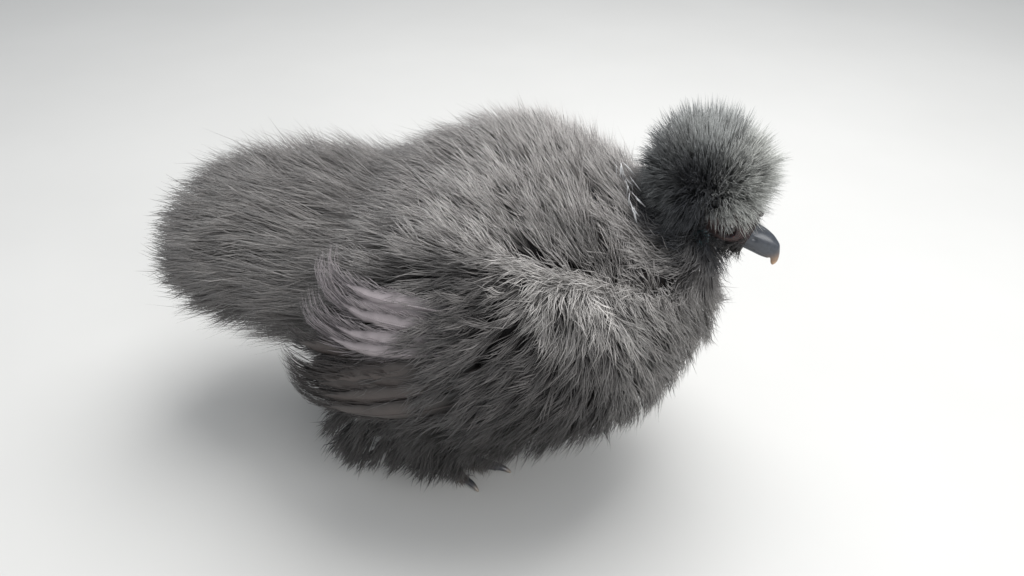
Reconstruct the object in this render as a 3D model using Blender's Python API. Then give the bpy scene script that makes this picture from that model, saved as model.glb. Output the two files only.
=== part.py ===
"""A silkie hen, life size, standing still. Metres, +Z up; the bird faces +X and its right side is -Y.

Each plumed node is a core with flat, tapered locks fused to it. The locks are laid on a rounded form
that marks how far the plumage reaches, so their tips give the bird its outline.
"""

import math
import random

import bmesh
import bpy
import numpy as np
from mathutils import Matrix, Vector

GAP = 0.0003
# How many facets the cores have, around and along.
TORSO_FACETS = (24, 16)
TAIL_FACETS = (20, 12)
SMALL_FACETS = (16, 10)
WING_FACETS = (14, 9)
HEAD_FACETS = (18, 11)
BEAK_FACETS = (14, 12)
JAW_FACETS = (12, 8)
BULB_FACETS = (8, 5)
SIDES = (("right", -1), ("left", 1))
SEED = 11

# How far the torso's plumage reaches: x, height of the centre, half width, half height.
TORSO_STATIONS = (
    (-0.060, 0.100, 0.070, 0.046),
    (-0.040, 0.105, 0.088, 0.064),
    (-0.010, 0.108, 0.102, 0.083),
    (0.030, 0.109, 0.107, 0.100),
    (0.060, 0.110, 0.105, 0.102),
    (0.085, 0.111, 0.096, 0.092),
    (0.110, 0.112, 0.085, 0.076),
    (0.140, 0.114, 0.064, 0.056),
    (0.167, 0.118, 0.036, 0.034),
)
TORSO_ROUND = (0.030, 0.036)
COAT_DEPTH = 0.019
CORE_CLEAR = 0.0002
FLOOR_ROOM = 0.0015

# How far the tail's plumes reach, along -X from TAIL_ROOT: distance, rise, half width, half height.
TAIL_ROOT = (-0.010, 0.0, 0.126)
TAIL_STATIONS = (
    (0.000, -0.002, 0.056, 0.050),
    (0.035, 0.000, 0.064, 0.056),
    (0.070, -0.003, 0.068, 0.060),
    (0.105, -0.008, 0.064, 0.056),
    (0.140, -0.013, 0.050, 0.044),
    (0.167, -0.016, 0.026, 0.024),
)
TAIL_ROUND = (0.020, 0.036)

NECK_FOOT = (0.106, 0.0, 0.120)
NECK_TOP = (0.150, 0.003, 0.176)
NECK_STATIONS = (
    (-0.010, 0.0, 0.052, 0.046),
    (0.020, 0.0, 0.046, 0.042),
    (0.045, 0.0, 0.038, 0.035),
    (0.078, 0.0, 0.029, 0.027),
)
NECK_ROUND = (0.015, 0.020)
NECK_DEPTH = 0.009

# Where one node ends and the next starts, as outlines in the XZ plane.
NECK_OUTLINE = (
    (0.100, 0.150), (0.112, 0.140), (0.136, 0.142), (0.235, 0.158), (0.235, 0.280), (0.086, 0.280),
)
TAIL_OUTLINE = ((-0.040, 0.070), (-0.034, 0.280), (-0.260, 0.280), (-0.260, 0.030), (-0.080, 0.030))
THIGH_OUTLINE = ((0.066, -0.010), (0.060, 0.030), (0.044, 0.048), (-0.120, 0.048), (-0.120, -0.010))
WING_OUTLINE = (
    (0.118, 0.140), (0.112, 0.168), (0.092, 0.182), (0.060, 0.182), (0.020, 0.170), (-0.020, 0.158),
    (-0.060, 0.150), (-0.070, 0.120), (-0.066, 0.080), (-0.020, 0.070), (0.040, 0.080), (0.090, 0.100),
    (0.110, 0.118),
)
WING_NEAR = 0.030
TAIL_HALF = 0.070
WIDE = 0.300
# How far out the places are given from which a wing's vanes and coverts are laid on its side.
WING_SIDE = 0.100
BLOCK_TOP = 0.100

# One lock, from root to tip: share of its length, width, thickness and of the coat's depth.
LOCK_SHAPE = (
    (0.00, 0.55, 1.00, 1.28),
    (0.20, 1.00, 1.00, 0.52),
    (0.50, 0.80, 0.80, 0.18),
    (0.80, 0.38, 0.50, 0.00),
    (1.00, 0.00, 0.00, -0.14),
)
LOCK_VARIES = 0.14
LOCK_TURN = math.radians(15)
LAY_STEPS = 12

# Body locks: length, width and thickness, and how far apart their roots are along and around.
BODY_LOCK = (0.074, 0.030, 0.0070)
BODY_RUN = (-0.034, 0.166)
BODY_APART = (0.035, 0.037)
TAIL_LOCK = (0.088, 0.030, 0.0065)
TAIL_RUN = (0.012, 0.125)
TAIL_APART = (0.042, 0.046)
NECK_LOCK = (0.042, 0.022, 0.0050)
NECK_RUN = (0.012, 0.070)
NECK_APART = (0.021, 0.030)
THIGH_LOCK = (0.048, 0.026, 0.0060)
THIGH_RUN = (-0.040, 0.060)
THIGH_ROOT_LOW = 0.016
THIGH_APART = (0.032, 0.034)

# How much further back than its root a lock is taken to lie, when it is given to one node or the next.
ROOT_AHEAD = 0.012
TAIL_AHEAD = 0.020
NECK_OVERLAP = 0.016

# A wing's vanes: length, width, thickness at the shaft and at the edges, and the roll that stacks them.
VANE = (0.086, 0.022, 0.0016, 0.0006)
VANE_CAMBER = 0.06
VANE_ROLL = math.radians(13)
# Each vane's length in turn, so that the tips don't end in one line.
VANE_LENGTHS = (1.02, 0.88, 1.06, 0.93, 1.00)
VANE_SHAPE = ((0.00, 0.60, 1.0), (0.40, 1.00, 1.0), (0.82, 0.78, 0.7), (1.00, 0.12, 0.4))
# Each tier: count, roots of the lowest and the highest vane, rise of their tips in degrees, share of the
# length, and how deep the roots lie and the share of that by which the tips rise.
WING_TIERS = (
    (5, (0.052, 0.092), (0.030, 0.126), -4, 2, 1.10, 0.0085, 0.55),
    (4, (0.030, 0.132), (0.026, 0.158), 3, 8, 0.85, 0.0065, 0.55),
)
VANE_UNDER = 0.001
WING_CORE_DEPTH = 0.011
WING_CORE_CENTRE = (0.058, 0.0745, 0.134)
WING_CORE_RADII = (0.050, 0.0165, 0.034)
COVERT_LOCK = (0.054, 0.026, 0.0055)
# Coverts over the vanes' roots: x of each row and its count, from the top of the wing to its lower edge.
COVERT_ROWS = ((0.116, 2), (0.092, 3), (0.064, 3), (0.038, 2))
COVERT_TOP = 0.182
COVERT_LOW = 0.100
COVERT_LEVEL = 0.010
COVERT_FALL = 8.0

# The head's own frame: X along the beak, Y to its left, Z up.
HEAD_CENTRE = (0.154, 0.004, 0.175)
HEAD_YAW = math.radians(-12)
HEAD_PITCH = math.radians(15)
HEAD_STATIONS = (
    (-0.024, 0.001, 0.0135, 0.0130),
    (-0.014, 0.002, 0.0150, 0.0150),
    (-0.004, 0.002, 0.0152, 0.0155),
    (0.006, 0.001, 0.0142, 0.0145),
    (0.014, -0.001, 0.0118, 0.0118),
    (0.022, -0.004, 0.0084, 0.0086),
)
HEAD_ROUND = (0.014, 0.0045)
EYE_RADIUS = 0.0048
EYE_PLACE = (0.0096, 0.0092, -0.0006)
LID_RADIUS = 0.0047
LID_THICK = 0.0010
LID_STAND = 0.0032
LID_SHAPE = 0.90
LID_POINTS = 12
EYE_CLEAR = (0.008, 0.008, 0.008)
EAR_LOBE_PLACE = (0.0000, 0.0128, -0.0118)
EAR_LOBE_SIZE = (0.0042, 0.0017, 0.0052)
WATTLE_PLACE = (0.0165, 0.0042, -0.0135)
WATTLE_SIZE = (0.0028, 0.0014, 0.0034)
COMB_BULBS = (
    (0.0175, 0.0000, 0.0078, 0.0032), (0.0150, 0.0034, 0.0092, 0.0028), (0.0150, -0.0034, 0.0092, 0.0028),
    (0.0200, 0.0026, 0.0052, 0.0026), (0.0200, -0.0026, 0.0052, 0.0026), (0.0125, 0.0000, 0.0112, 0.0030),
)
BEAK_BASE = 0.0195
BEAK_STATIONS = (
    (0.0170, -0.0050, 0.0067, 0.0068),
    (0.0225, -0.0052, 0.0062, 0.0067),
    (0.0275, -0.0058, 0.0052, 0.0065),
    (0.0325, -0.0073, 0.0037, 0.0060),
    (0.0360, -0.0092, 0.0023, 0.0052),
    (0.0382, -0.0108, 0.0011, 0.0032),
)
LOWER_BEAK_STATIONS = (
    (0.0170, -0.0092, 0.0052, 0.0032),
    (0.0250, -0.0102, 0.0042, 0.0027),
    (0.0305, -0.0112, 0.0026, 0.0020),
    (0.0342, -0.0116, 0.0012, 0.0012),
)
BEAK_ROUND = (0.004, 0.0015)
BEAK_REACH = 0.060
FACE_HALF = 0.030
MOUTH_LINE = ((0.010, -0.0082), (0.0290, -0.0102), (0.0345, -0.0110), (0.0358, -0.0185))
ABOVE_MOUTH = ((0.045, -0.0185), (0.045, 0.030), (0.010, 0.030))
BELOW_MOUTH = ((0.0355, -0.030), (0.010, -0.030))
NOSTRIL_PLACE = (0.0232, 0.0058, -0.0034)
NOSTRIL_SIZE = (0.0019, 0.0012, 0.0012)

CREST_CENTRE = (0.145, 0.001, 0.192)
CREST_RADII = (0.037, 0.037, 0.0395)
CREST_CORE = 0.55
CREST_FLOOR = (
    (0.060, 0.206), (0.102, 0.202), (0.116, 0.176), (0.132, 0.164), (0.144, 0.168), (0.156, 0.180),
    (0.170, 0.180), (0.176, 0.174), (0.230, 0.172), (0.230, 0.280), (0.060, 0.280),
)
CREST_ROOT = (0.147, 0.002, 0.184)
CREST_LOCK = (0.021, 0.0050)
# A crest lock from root to tip, widest towards its end: share of its length, width and thickness.
CREST_SHAPE = (
    (0.00, 0.40, 1.00),
    (0.35, 0.72, 1.00),
    (0.65, 1.00, 0.80),
    (0.86, 0.66, 0.50),
    (1.00, 0.00, 0.00),
)
# Each ring of crest locks: height of its tips above the level in degrees, its count, and how far its locks
# arch over, as a share of the crest's radius.
CREST_RINGS = ((-28, 9, 0.75), (-2, 9, 0.75), (24, 8, 0.75), (46, 5, 0.85), (62, 3, 1.00))
CREST_SPREAD = (0.14, 6)
CREST_LEAN = 0.12
CREST_CLEAR_ROOT = 0.12

# Legs: the plumed thigh, and the foot with its five toes.
FOOT_SPREAD = 0.036
ANKLE = (0.004, 0.010)
SHANK_TOP = (-0.010, 0.027)
SHANK_RADIUS = 0.0052
TOE_RADIUS = 0.0040
TOE_SINK = 0.0006
# Each toe: name, bearing in degrees outwards from straight ahead, length, rise of the tip, radius share.
TOES = (
    ("inner", -24, 0.034, 0.0, 0.95),
    ("middle", 2, 0.046, 0.0, 1.0),
    ("outer", 28, 0.037, 0.0, 0.92),
    ("back", 180, 0.019, 0.0, 0.85),
    ("fifth", 212, 0.016, 0.0035, 0.75),
)
# Shares of a toe's length where its rings lie, and their radii as shares of its own.
TOE_RINGS = ((0.0, 1.15), (0.3, 1.0), (0.65, 0.9), (1.0, 0.62))
CLAW_LENGTH = 0.009
CLAW_DROP = 0.0022
CLAW_THICK = 0.55
CLAW_RINGS = ((0.0, 1.0), (0.35, 0.85), (0.7, 0.5), (1.0, 0.13))
THIGH_STATIONS = (
    (-0.050, 0.046, 0.048, 0.034),
    (-0.025, 0.050, 0.050, 0.042),
    (0.010, 0.053, 0.050, 0.046),
    (0.045, 0.056, 0.044, 0.044),
    (0.068, 0.060, 0.030, 0.030),
)
THIGH_OFFSET = 0.043
THIGH_ROUND = (0.020, 0.020)
THIGH_DEPTH = 0.015
THIGH_BOTTOM = 0.0145
THIGH_INNER = 0.0015
FOOT_ROOM = (-0.030, 0.064)

COLOURS = {
    "plumage": (0.118, 0.108, 0.106),
    "dark_plumage": (0.045, 0.043, 0.046),
    "skin": (0.040, 0.032, 0.038),
    "horn": (0.060, 0.062, 0.070),
    "lobe": (0.180, 0.290, 0.300),
    "eye": (0.012, 0.008, 0.006),
}


def material(name, roughness):
    """A Principled BSDF in one of the bird's colours."""
    made = bpy.data.materials.get(name) or bpy.data.materials.new(name)
    made.use_nodes = True
    shader = made.node_tree.nodes["Principled BSDF"]
    shader.inputs["Base Color"].default_value = (*COLOURS[name], 1)
    shader.inputs["Roughness"].default_value = roughness
    shader.inputs["Metallic"].default_value = 0
    return made


def smoothed(table, s):
    """The row of a station table at s, on a smooth curve through its rows."""
    keys = table[:, 0]
    i = int(np.clip(np.searchsorted(keys, s) - 1, 0, len(keys) - 2))
    slopes = np.gradient(table[:, 1:], keys, axis=0)
    span = keys[i + 1] - keys[i]
    t = np.clip((s - keys[i]) / span, 0, 1)
    start = (2 * t**3 - 3 * t**2 + 1) * table[i, 1:] + (t**3 - 2 * t**2 + t) * span * slopes[i]
    end = (3 * t**2 - 2 * t**3) * table[i + 1, 1:] + (t**3 - t**2) * span * slopes[i + 1]
    return start + end


def outward(bm):
    """The same closed mesh with its faces pointing out."""
    bmesh.ops.recalc_face_normals(bm, faces=bm.faces)
    if bm.calc_volume(signed=True) < 0:
        bmesh.ops.reverse_faces(bm, faces=bm.faces)
    return bm


class Form:
    """A rounded body along a local X axis, from stations of centre height, half width and half height."""

    def __init__(self, frame, stations, rounding, inset=0.0):
        self.frame = frame
        self.inverse = frame.inverted()
        self.table = np.array(stations, float)
        self.start = self.table[0, 0] + inset
        self.end = self.table[-1, 0] - inset
        self.rounding = rounding
        self.inset = inset

    def section(self, s):
        """Centre height, half width and half height at s, closing to a point at both ends."""
        rise, wide, high = smoothed(self.table, s)
        near = min(1.0, max(0.0, (s - self.start) / self.rounding[0]))
        far = min(1.0, max(0.0, (self.end - s) / self.rounding[1]))
        share = math.sqrt(max(0.0, 1 - (1 - near) ** 2)) * math.sqrt(max(0.0, 1 - (1 - far) ** 2))
        return rise, max(0.0, wide - self.inset) * share, max(0.0, high - self.inset) * share

    def point(self, s, turn):
        rise, wide, high = self.section(s)
        return self.frame @ Vector((s, wide * math.cos(turn), rise + high * math.sin(turn)))

    def normal(self, s, turn):
        """The outward direction of the surface at s and turn."""
        step = 0.0005
        low, high = max(s - step, self.start), min(s + step, self.end)
        along = self.point(high, turn) - self.point(low, turn)
        across = self.point(s, turn + 0.02) - self.point(s, turn - 0.02)
        return across.cross(along).normalized()

    def under(self, place):
        """The values of s and turn at which the surface lies nearest a place, closely enough."""
        local = self.inverse @ place
        s = min(max(local.x, self.start + 0.0015), self.end - 0.0015)
        rise, wide, high = self.section(s)
        return s, math.atan2((local.z - rise) / high, local.y / wide)

    def mesh(self, around, along):
        """The form as a closed bmesh, made from a sphere whose poles lie on the local X axis."""
        bm = bmesh.new()
        bmesh.ops.create_uvsphere(bm, u_segments=around, v_segments=along, radius=1)
        for vertex in bm.verts:
            x, y, z = vertex.co
            polar = math.acos(max(-1.0, min(1.0, z)))
            s = self.start + (self.end - self.start) * (1 - math.cos(polar)) / 2
            vertex.co = self.point(s, math.atan2(y, x))
        return outward(bm)


def walk(form, place, lie, length, shares):
    """Points on a form's surface from a place along its lie, with the normal at each."""
    path = []
    for _ in range(LAY_STEPS + 1):
        s, turn = form.under(place)
        surface = form.point(s, turn)
        normal = form.normal(s, turn)
        path.append((surface, normal))
        way = lie(surface, normal)
        way = (way - normal * way.dot(normal)).normalized()
        place = surface + way * (length / LAY_STEPS)
    found = []
    for share in shares:
        at = share * LAY_STEPS
        i = min(int(at), LAY_STEPS - 1)
        point = path[i][0].lerp(path[i + 1][0], at - i)
        found.append((point, path[i][1].lerp(path[i + 1][1], at - i).normalized()))
    return found


def lock(points, normals, widths, thicknesses):
    """A closed flat lock of lens section, whose last point is its tip."""
    bm = bmesh.new()
    rings = []
    for i, point in enumerate(points[:-1]):
        along = (points[i + 1] - points[max(i - 1, 0)]).normalized()
        across = along.cross(normals[i]).normalized()
        up = across.cross(along).normalized()
        half = across * widths[i] / 2
        thick = up * thicknesses[i] / 2
        rings.append([bm.verts.new(p) for p in (point + half, point + thick, point - half, point - thick)])
    tip = bm.verts.new(points[-1])
    for a, b in zip(rings, rings[1:]):
        for k in range(4):
            bm.faces.new((a[k], a[(k + 1) % 4], b[(k + 1) % 4], b[k]))
    for k in range(4):
        bm.faces.new((rings[-1][k], rings[-1][(k + 1) % 4], tip))
    bm.faces.new(rings[0][::-1])
    return outward(bm)


def vane(points, normals, widths, middles, edges):
    """A closed thin vane with a raised shaft line, cut into triangles alike on both faces."""
    bm = bmesh.new()
    rings = []
    for i, point in enumerate(points):
        along = (points[min(i + 1, len(points) - 1)] - points[max(i - 1, 0)]).normalized()
        across = along.cross(normals[i]).normalized()
        up = across.cross(along).normalized()
        half = across * widths[i] / 2
        thick = up * middles[i] / 2
        edge = up * edges[i] / 2
        camber = up * widths[i] * VANE_CAMBER
        upper = (point - half - camber + edge, point + thick, point + half - camber + edge)
        lower = (point - half - camber - edge, point - thick, point + half - camber - edge)
        rings.append(([bm.verts.new(p) for p in upper], [bm.verts.new(p) for p in lower]))
    for (up_a, low_a), (up_b, low_b) in zip(rings, rings[1:]):
        for k in range(2):
            for a, b in ((up_a, up_b), (low_a, low_b)):
                bm.faces.new((a[k], a[k + 1], b[k + 1]))
                bm.faces.new((a[k], b[k + 1], b[k]))
        for k in (0, 2):
            bm.faces.new((up_a[k], low_a[k], low_b[k]))
            bm.faces.new((up_a[k], low_b[k], up_b[k]))
    for upper, lower in (rings[0], rings[-1]):
        for k in range(2):
            bm.faces.new((upper[k], upper[k + 1], lower[k + 1], lower[k]))
    return outward(bm)


def laid_lock(form, place, lie, size, depth, rng, tip_depth=0.0):
    """One lock that roots at a depth under a form's surface and comes up to it at its tip."""
    length, width, thickness = (value * rng.uniform(1 - LOCK_VARIES, 1 + LOCK_VARIES) for value in size)
    yaw = rng.uniform(-LOCK_TURN, LOCK_TURN)

    def turned(point, normal):
        return Matrix.Rotation(yaw, 3, normal) @ lie(point, normal)

    steps = walk(form, place, turned, length, [row[0] for row in LOCK_SHAPE])
    points = []
    for (point, normal), row in zip(steps, LOCK_SHAPE):
        sunk = tip_depth + (depth - tip_depth) * row[3] + thickness * row[2] / 2
        points.append(point - normal * sunk)
    widths = [width * row[1] for row in LOCK_SHAPE]
    thicknesses = [thickness * row[2] for row in LOCK_SHAPE]
    for point in points:
        point.z = max(point.z, FLOOR_ROOM + thickness / 2)
    return lock(points, [normal for _, normal in steps], widths, thicknesses)


def rooted(form, apart, start, end):
    """Places on a form's surface in staggered rings, evenly apart along it and around it."""
    rings = max(1, round((end - start) / apart[0]))
    for i in range(rings):
        s = start + (end - start) * (i + 0.5) / rings
        _, wide, high = form.section(s)
        around = math.pi * (3 * (wide + high) - math.sqrt((3 * wide + high) * (wide + 3 * high)))
        count = max(4, round(around / apart[1]))
        for k in range(count):
            yield form.point(s, math.tau * (k + 0.5 * (i % 2)) / count)


def inside(outline, x, z):
    """Whether a point of the XZ plane lies inside an outline."""
    found = False
    for (ax, az), (bx, bz) in zip(outline, outline[1:] + outline[:1]):
        if (az > z) != (bz > z) and x < (bx - ax) * (z - az) / (bz - az) + ax:
            found = not found
    return found


def add(name, bm, look, roughness=0.8):
    """A mesh object for the model, shaded smooth."""
    mesh = bpy.data.meshes.new(name)
    bm.to_mesh(mesh)
    bm.free()
    made = bpy.data.objects.new(name, mesh)
    model.objects.link(made)
    mesh.materials.append(material(look, roughness))
    mesh.shade_smooth()
    return made


def helper(name, bm):
    """A cutter, left out of the render."""
    mesh = bpy.data.meshes.new(name)
    bm.to_mesh(mesh)
    bm.free()
    made = bpy.data.objects.new(name, mesh)
    cutters.objects.link(made)
    made.hide_render = True
    made.display_type = "WIRE"
    return made


def prism(outline, low=-WIDE, high=WIDE):
    """A closed block: an outline in the XZ plane drawn out from one Y to another."""
    bm = bmesh.new()
    face = bm.faces.new([bm.verts.new((x, low, z)) for x, z in outline])
    moved = bmesh.ops.extrude_face_region(bm, geom=[face])["geom"]
    for item in moved:
        if isinstance(item, bmesh.types.BMVert):
            item.co.y = high
    return outward(bm)


def prism_in(frame, outline):
    """A block wider than the head, in a frame."""
    bm = prism(outline, -FACE_HALF, FACE_HALF)
    bmesh.ops.transform(bm, matrix=frame, verts=bm.verts)
    return bm


def ball(centre, radii, frame=None, around=12, along=8):
    """A closed ellipsoid."""
    bm = bmesh.new()
    bmesh.ops.create_uvsphere(bm, u_segments=around, v_segments=along, radius=1)
    place = (frame or Matrix.Identity(4)) @ Matrix.Translation(centre) @ Matrix.Diagonal((*radii, 1))
    bmesh.ops.transform(bm, matrix=place, verts=bm.verts)
    return bm


def tube(points, radii, sides):
    """A closed round tube through points, with a radius at each."""
    bm = bmesh.new()
    points = [Vector(p) for p in points]
    rings = []
    for i, (point, radius) in enumerate(zip(points, radii)):
        along = (points[min(i + 1, len(points) - 1)] - points[max(i - 1, 0)]).normalized()
        across = along.cross(Vector((0, 0, 1)) if abs(along.z) < 0.9 else Vector((1, 0, 0))).normalized()
        up = across.cross(along)
        turns = [math.tau * k / sides for k in range(sides)]
        ring = [point + radius * (math.cos(a) * across + math.sin(a) * up) for a in turns]
        rings.append([bm.verts.new(p) for p in ring])
    for a, b in zip(rings, rings[1:]):
        for k in range(sides):
            bm.faces.new((a[k], a[(k + 1) % sides], b[(k + 1) % sides], b[k]))
    bm.faces.new(rings[0][::-1])
    bm.faces.new(rings[-1])
    return outward(bm)


def closed_ring(points, radius, sides):
    """A ring of round section through points that run full circle."""
    bm = bmesh.new()
    count = len(points)
    centre = sum(points, Vector()) / count
    rings = []
    for i, point in enumerate(points):
        along = (points[(i + 1) % count] - points[i - 1]).normalized()
        out = (point - centre).normalized()
        axis = along.cross(out)
        turns = [math.tau * k / sides for k in range(sides)]
        section = [math.cos(a) * out + math.sin(a) * axis for a in turns]
        rings.append([bm.verts.new(point + radius * way) for way in section])
    for i in range(count):
        a, b = rings[i], rings[(i + 1) % count]
        for k in range(sides):
            bm.faces.new((a[k], a[(k + 1) % sides], b[(k + 1) % sides], b[k]))
    return outward(bm)


def grown(bm, by):
    """The same shape with its surface moved outwards."""
    bm.normal_update()
    moves = [(v, v.normal * by) for v in bm.verts]
    for vertex, move in moves:
        vertex.co += move
    return bm


def apply_modifiers(obj):
    graph = bpy.context.evaluated_depsgraph_get()
    made = bpy.data.meshes.new_from_object(obj.evaluated_get(graph))
    obj.modifiers.clear()
    old = obj.data
    obj.data = made
    bpy.data.meshes.remove(old)


def cut(obj, cutter, operation="DIFFERENCE"):
    """Applies one Boolean of an object with a cutter, which is then removed."""
    modifier = obj.modifiers.new("cut", "BOOLEAN")
    modifier.operation = operation
    modifier.object = cutter
    modifier.solver = "MANIFOLD"
    apply_modifiers(obj)
    bpy.data.objects.remove(cutter)


def fuse(obj, pieces):
    """Joins closed pieces to an object by one Boolean union on their collection."""
    group = bpy.data.collections.new("pieces")
    bpy.context.scene.collection.children.link(group)
    for i, bm in enumerate(pieces):
        mesh = bpy.data.meshes.new(f"piece_{i}")
        bm.to_mesh(mesh)
        bm.free()
        group.objects.link(bpy.data.objects.new(f"piece_{i}", mesh))
    modifier = obj.modifiers.new("fuse", "BOOLEAN")
    modifier.operation = "UNION"
    modifier.operand_type = "COLLECTION"
    modifier.collection = group
    modifier.solver = "MANIFOLD"
    apply_modifiers(obj)
    for piece in list(group.objects):
        bpy.data.objects.remove(piece)
    bpy.data.collections.remove(group)


def keep_largest(obj):
    """Drops every closed surface of the object but the largest."""
    bm = bmesh.new()
    bm.from_mesh(obj.data)
    unseen = set(bm.faces)
    groups = []
    while unseen:
        stack = [unseen.pop()]
        group = set(stack)
        while stack:
            for edge in stack.pop().edges:
                for face in edge.link_faces:
                    if face in unseen:
                        unseen.discard(face)
                        group.add(face)
                        stack.append(face)
        groups.append(group)
    groups.sort(key=len)
    spare = [face for group in groups[:-1] for face in group]
    bmesh.ops.delete(bm, geom=spare, context="FACES")
    bm.to_mesh(obj.data)
    bm.free()


def inset_outline(outline, by):
    """An outline moved inwards by a distance."""
    points = [Vector(p) for p in outline]
    area = sum(a.x * b.y - b.x * a.y for a, b in zip(points, points[1:] + points[:1]))
    sign = 1 if area > 0 else -1
    moved = []
    for i, point in enumerate(points):
        before = (point - points[i - 1]).normalized()
        after = (points[(i + 1) % len(points)] - point).normalized()
        inward = sign * (Vector((-before.y, before.x)) + Vector((-after.y, after.x)))
        moved.append(tuple(point + inward * by / (1 + before.dot(after))))
    return tuple(moved)


def head_frame():
    turn = Matrix.Rotation(HEAD_YAW, 4, "Z") @ Matrix.Rotation(HEAD_PITCH, 4, "Y")
    return Matrix.Translation(HEAD_CENTRE) @ turn


def mirrored(place, side):
    return (place[0], side * place[1], place[2])


def head_form():
    return Form(head_frame(), HEAD_STATIONS, HEAD_ROUND)


def torso_form(inset=0.0):
    return Form(Matrix.Identity(4), TORSO_STATIONS, TORSO_ROUND, inset)


def neck_form(inset=0.0):
    axis = Vector(NECK_TOP) - Vector(NECK_FOOT)
    turn = axis.to_track_quat("X", "Z").to_matrix().to_4x4()
    return Form(Matrix.Translation(NECK_FOOT) @ turn, NECK_STATIONS, NECK_ROUND, inset)


def tail_form(inset=0.0):
    turn = Matrix.Rotation(math.pi, 4, "Z")
    return Form(Matrix.Translation(TAIL_ROOT) @ turn, TAIL_STATIONS, TAIL_ROUND, inset)


def thigh_form(side, inset=0.0):
    return Form(Matrix.Translation((0, side * THIGH_OFFSET, 0)), THIGH_STATIONS, THIGH_ROUND, inset)


def eased(value, low, high):
    """0 below low and 1 above high, with a smooth rise between."""
    t = min(1.0, max(0.0, (value - low) / (high - low)))
    return t * t * (3 - 2 * t)


def torso_lie(point, normal):
    """Backwards along the body, and from the throat down over the breast."""
    front = eased(point.x, 0.080, 0.140)
    below = eased(-normal.z, 0.0, 0.7)
    flank = eased(abs(normal.y), 0.3, 0.9)
    back = Vector((-1, 0, -0.1 - 0.45 * flank))
    return back.lerp(Vector((0.25 - 1.3 * below, 0, -1)), front)


def tail_lie(point, normal):
    return Vector((-1, 0, 0))


def neck_lie(point, normal):
    return Vector(NECK_FOOT) - Vector(NECK_TOP) + Vector((-0.02, 0, -0.02))


def thigh_lie(point, normal):
    return Vector((-0.8, 0, -0.8))


def wing_space(side, by):
    """The space over the torso's core that a folded wing takes up at one side, made smaller by a gap."""
    outline = inset_outline(WING_OUTLINE, by)
    space = helper("wing_space", prism(outline, *sorted((side * WING_NEAR, side * WIDE))))
    cut(space, helper("core", torso_form(COAT_DEPTH - CORE_CLEAR - by).mesh(*TORSO_FACETS)))
    return space


def make_torso():
    torso = add("torso", torso_form(COAT_DEPTH).mesh(*TORSO_FACETS), "plumage")
    rng = random.Random(SEED)
    form = torso_form()
    locks = []
    for place in rooted(form, BODY_APART, *BODY_RUN):
        if torso_keeps(form, place):
            locks.append(laid_lock(form, place, torso_lie, BODY_LOCK, COAT_DEPTH, rng))
    fuse(torso, locks)
    for _, side in SIDES:
        cut(torso, wing_space(side, 0.0))
    cut(torso, helper("neck_space", prism(NECK_OUTLINE)))
    cut(torso, helper("tail_space", prism(TAIL_OUTLINE)))
    cut(torso, helper("thigh_space", prism(THIGH_OUTLINE)))
    keep_largest(torso)


def torso_keeps(form, place):
    """Whether a lock rooted here shows on the torso and not inside another node."""
    if abs(place.y) > WING_NEAR and inside(WING_OUTLINE, place.x - ROOT_AHEAD, place.z):
        return False
    if inside(inset_outline(NECK_OUTLINE, NECK_OVERLAP), place.x, place.z):
        return False
    if inside(TAIL_OUTLINE, place.x - TAIL_AHEAD, place.z):
        return False
    return not inside(THIGH_OUTLINE, place.x - ROOT_AHEAD, place.z)


def make_wings():
    for name, side in SIDES:
        rng = random.Random(SEED + side)
        core = ball(mirrored(WING_CORE_CENTRE, side), WING_CORE_RADII, None, *WING_FACETS)
        wing = add("wing_" + name, core, "plumage")
        fuse(wing, wing_vanes(side, rng) + wing_coverts(side, rng))
        cut(wing, wing_space(side, GAP), "INTERSECT")
        cut(wing, helper("thigh_space", prism(inset_outline(THIGH_OUTLINE, -GAP))))
        cut(wing, helper("tail_space", prism(inset_outline(TAIL_OUTLINE, -GAP), -TAIL_HALF, TAIL_HALF)))
        keep_largest(wing)


def wing_vanes(side, rng):
    """Two tiers of overlapping vanes, laid back along the flank from the folded arm."""
    form = torso_form()
    made = []
    for count, low, high, low_rise, high_rise, share, depth, lifted in WING_TIERS:
        for i in range(count):
            t = i / (count - 1)
            x, z = (a + (b - a) * t for a, b in zip(low, high))
            rise = math.tan(math.radians(low_rise + (high_rise - low_rise) * t))
            length = VANE[0] * share * VANE_LENGTHS[i] * rng.uniform(0.97, 1.03)

            def lie(point, normal):
                return Vector((-1, 0, rise))

            place = Vector((x, side * WING_SIDE, z))
            steps = walk(form, place, lie, length, [row[0] for row in VANE_SHAPE])
            points = []
            for (point, normal), row in zip(steps, VANE_SHAPE):
                points.append(point - normal * (depth * (1 - lifted * row[0]) + VANE_UNDER))
            normals = [Matrix.Rotation(-side * VANE_ROLL, 3, "X") @ normal for _, normal in steps]
            widths = [VANE[1] * row[1] for row in VANE_SHAPE]
            middles = [VANE[2] * row[2] for row in VANE_SHAPE]
            made.append(vane(points, normals, widths, middles, [VANE[3]] * len(points)))
    return made


def wing_coverts(side, rng):
    """Locks that fall over the vanes' roots and the front of the wing."""
    form = torso_form()
    made = []
    for x, columns in COVERT_ROWS:
        for k in range(columns):
            z = COVERT_TOP - (COVERT_TOP - COVERT_LOW) * (k + 0.5) / columns
            down = COVERT_FALL * (x - COVERT_LEVEL)

            def lie(point, normal):
                return Vector((-1, 0, -down))

            place = Vector((x, side * WING_SIDE, z))
            made.append(laid_lock(form, place, lie, COVERT_LOCK, WING_CORE_DEPTH, rng))
    return made


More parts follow.
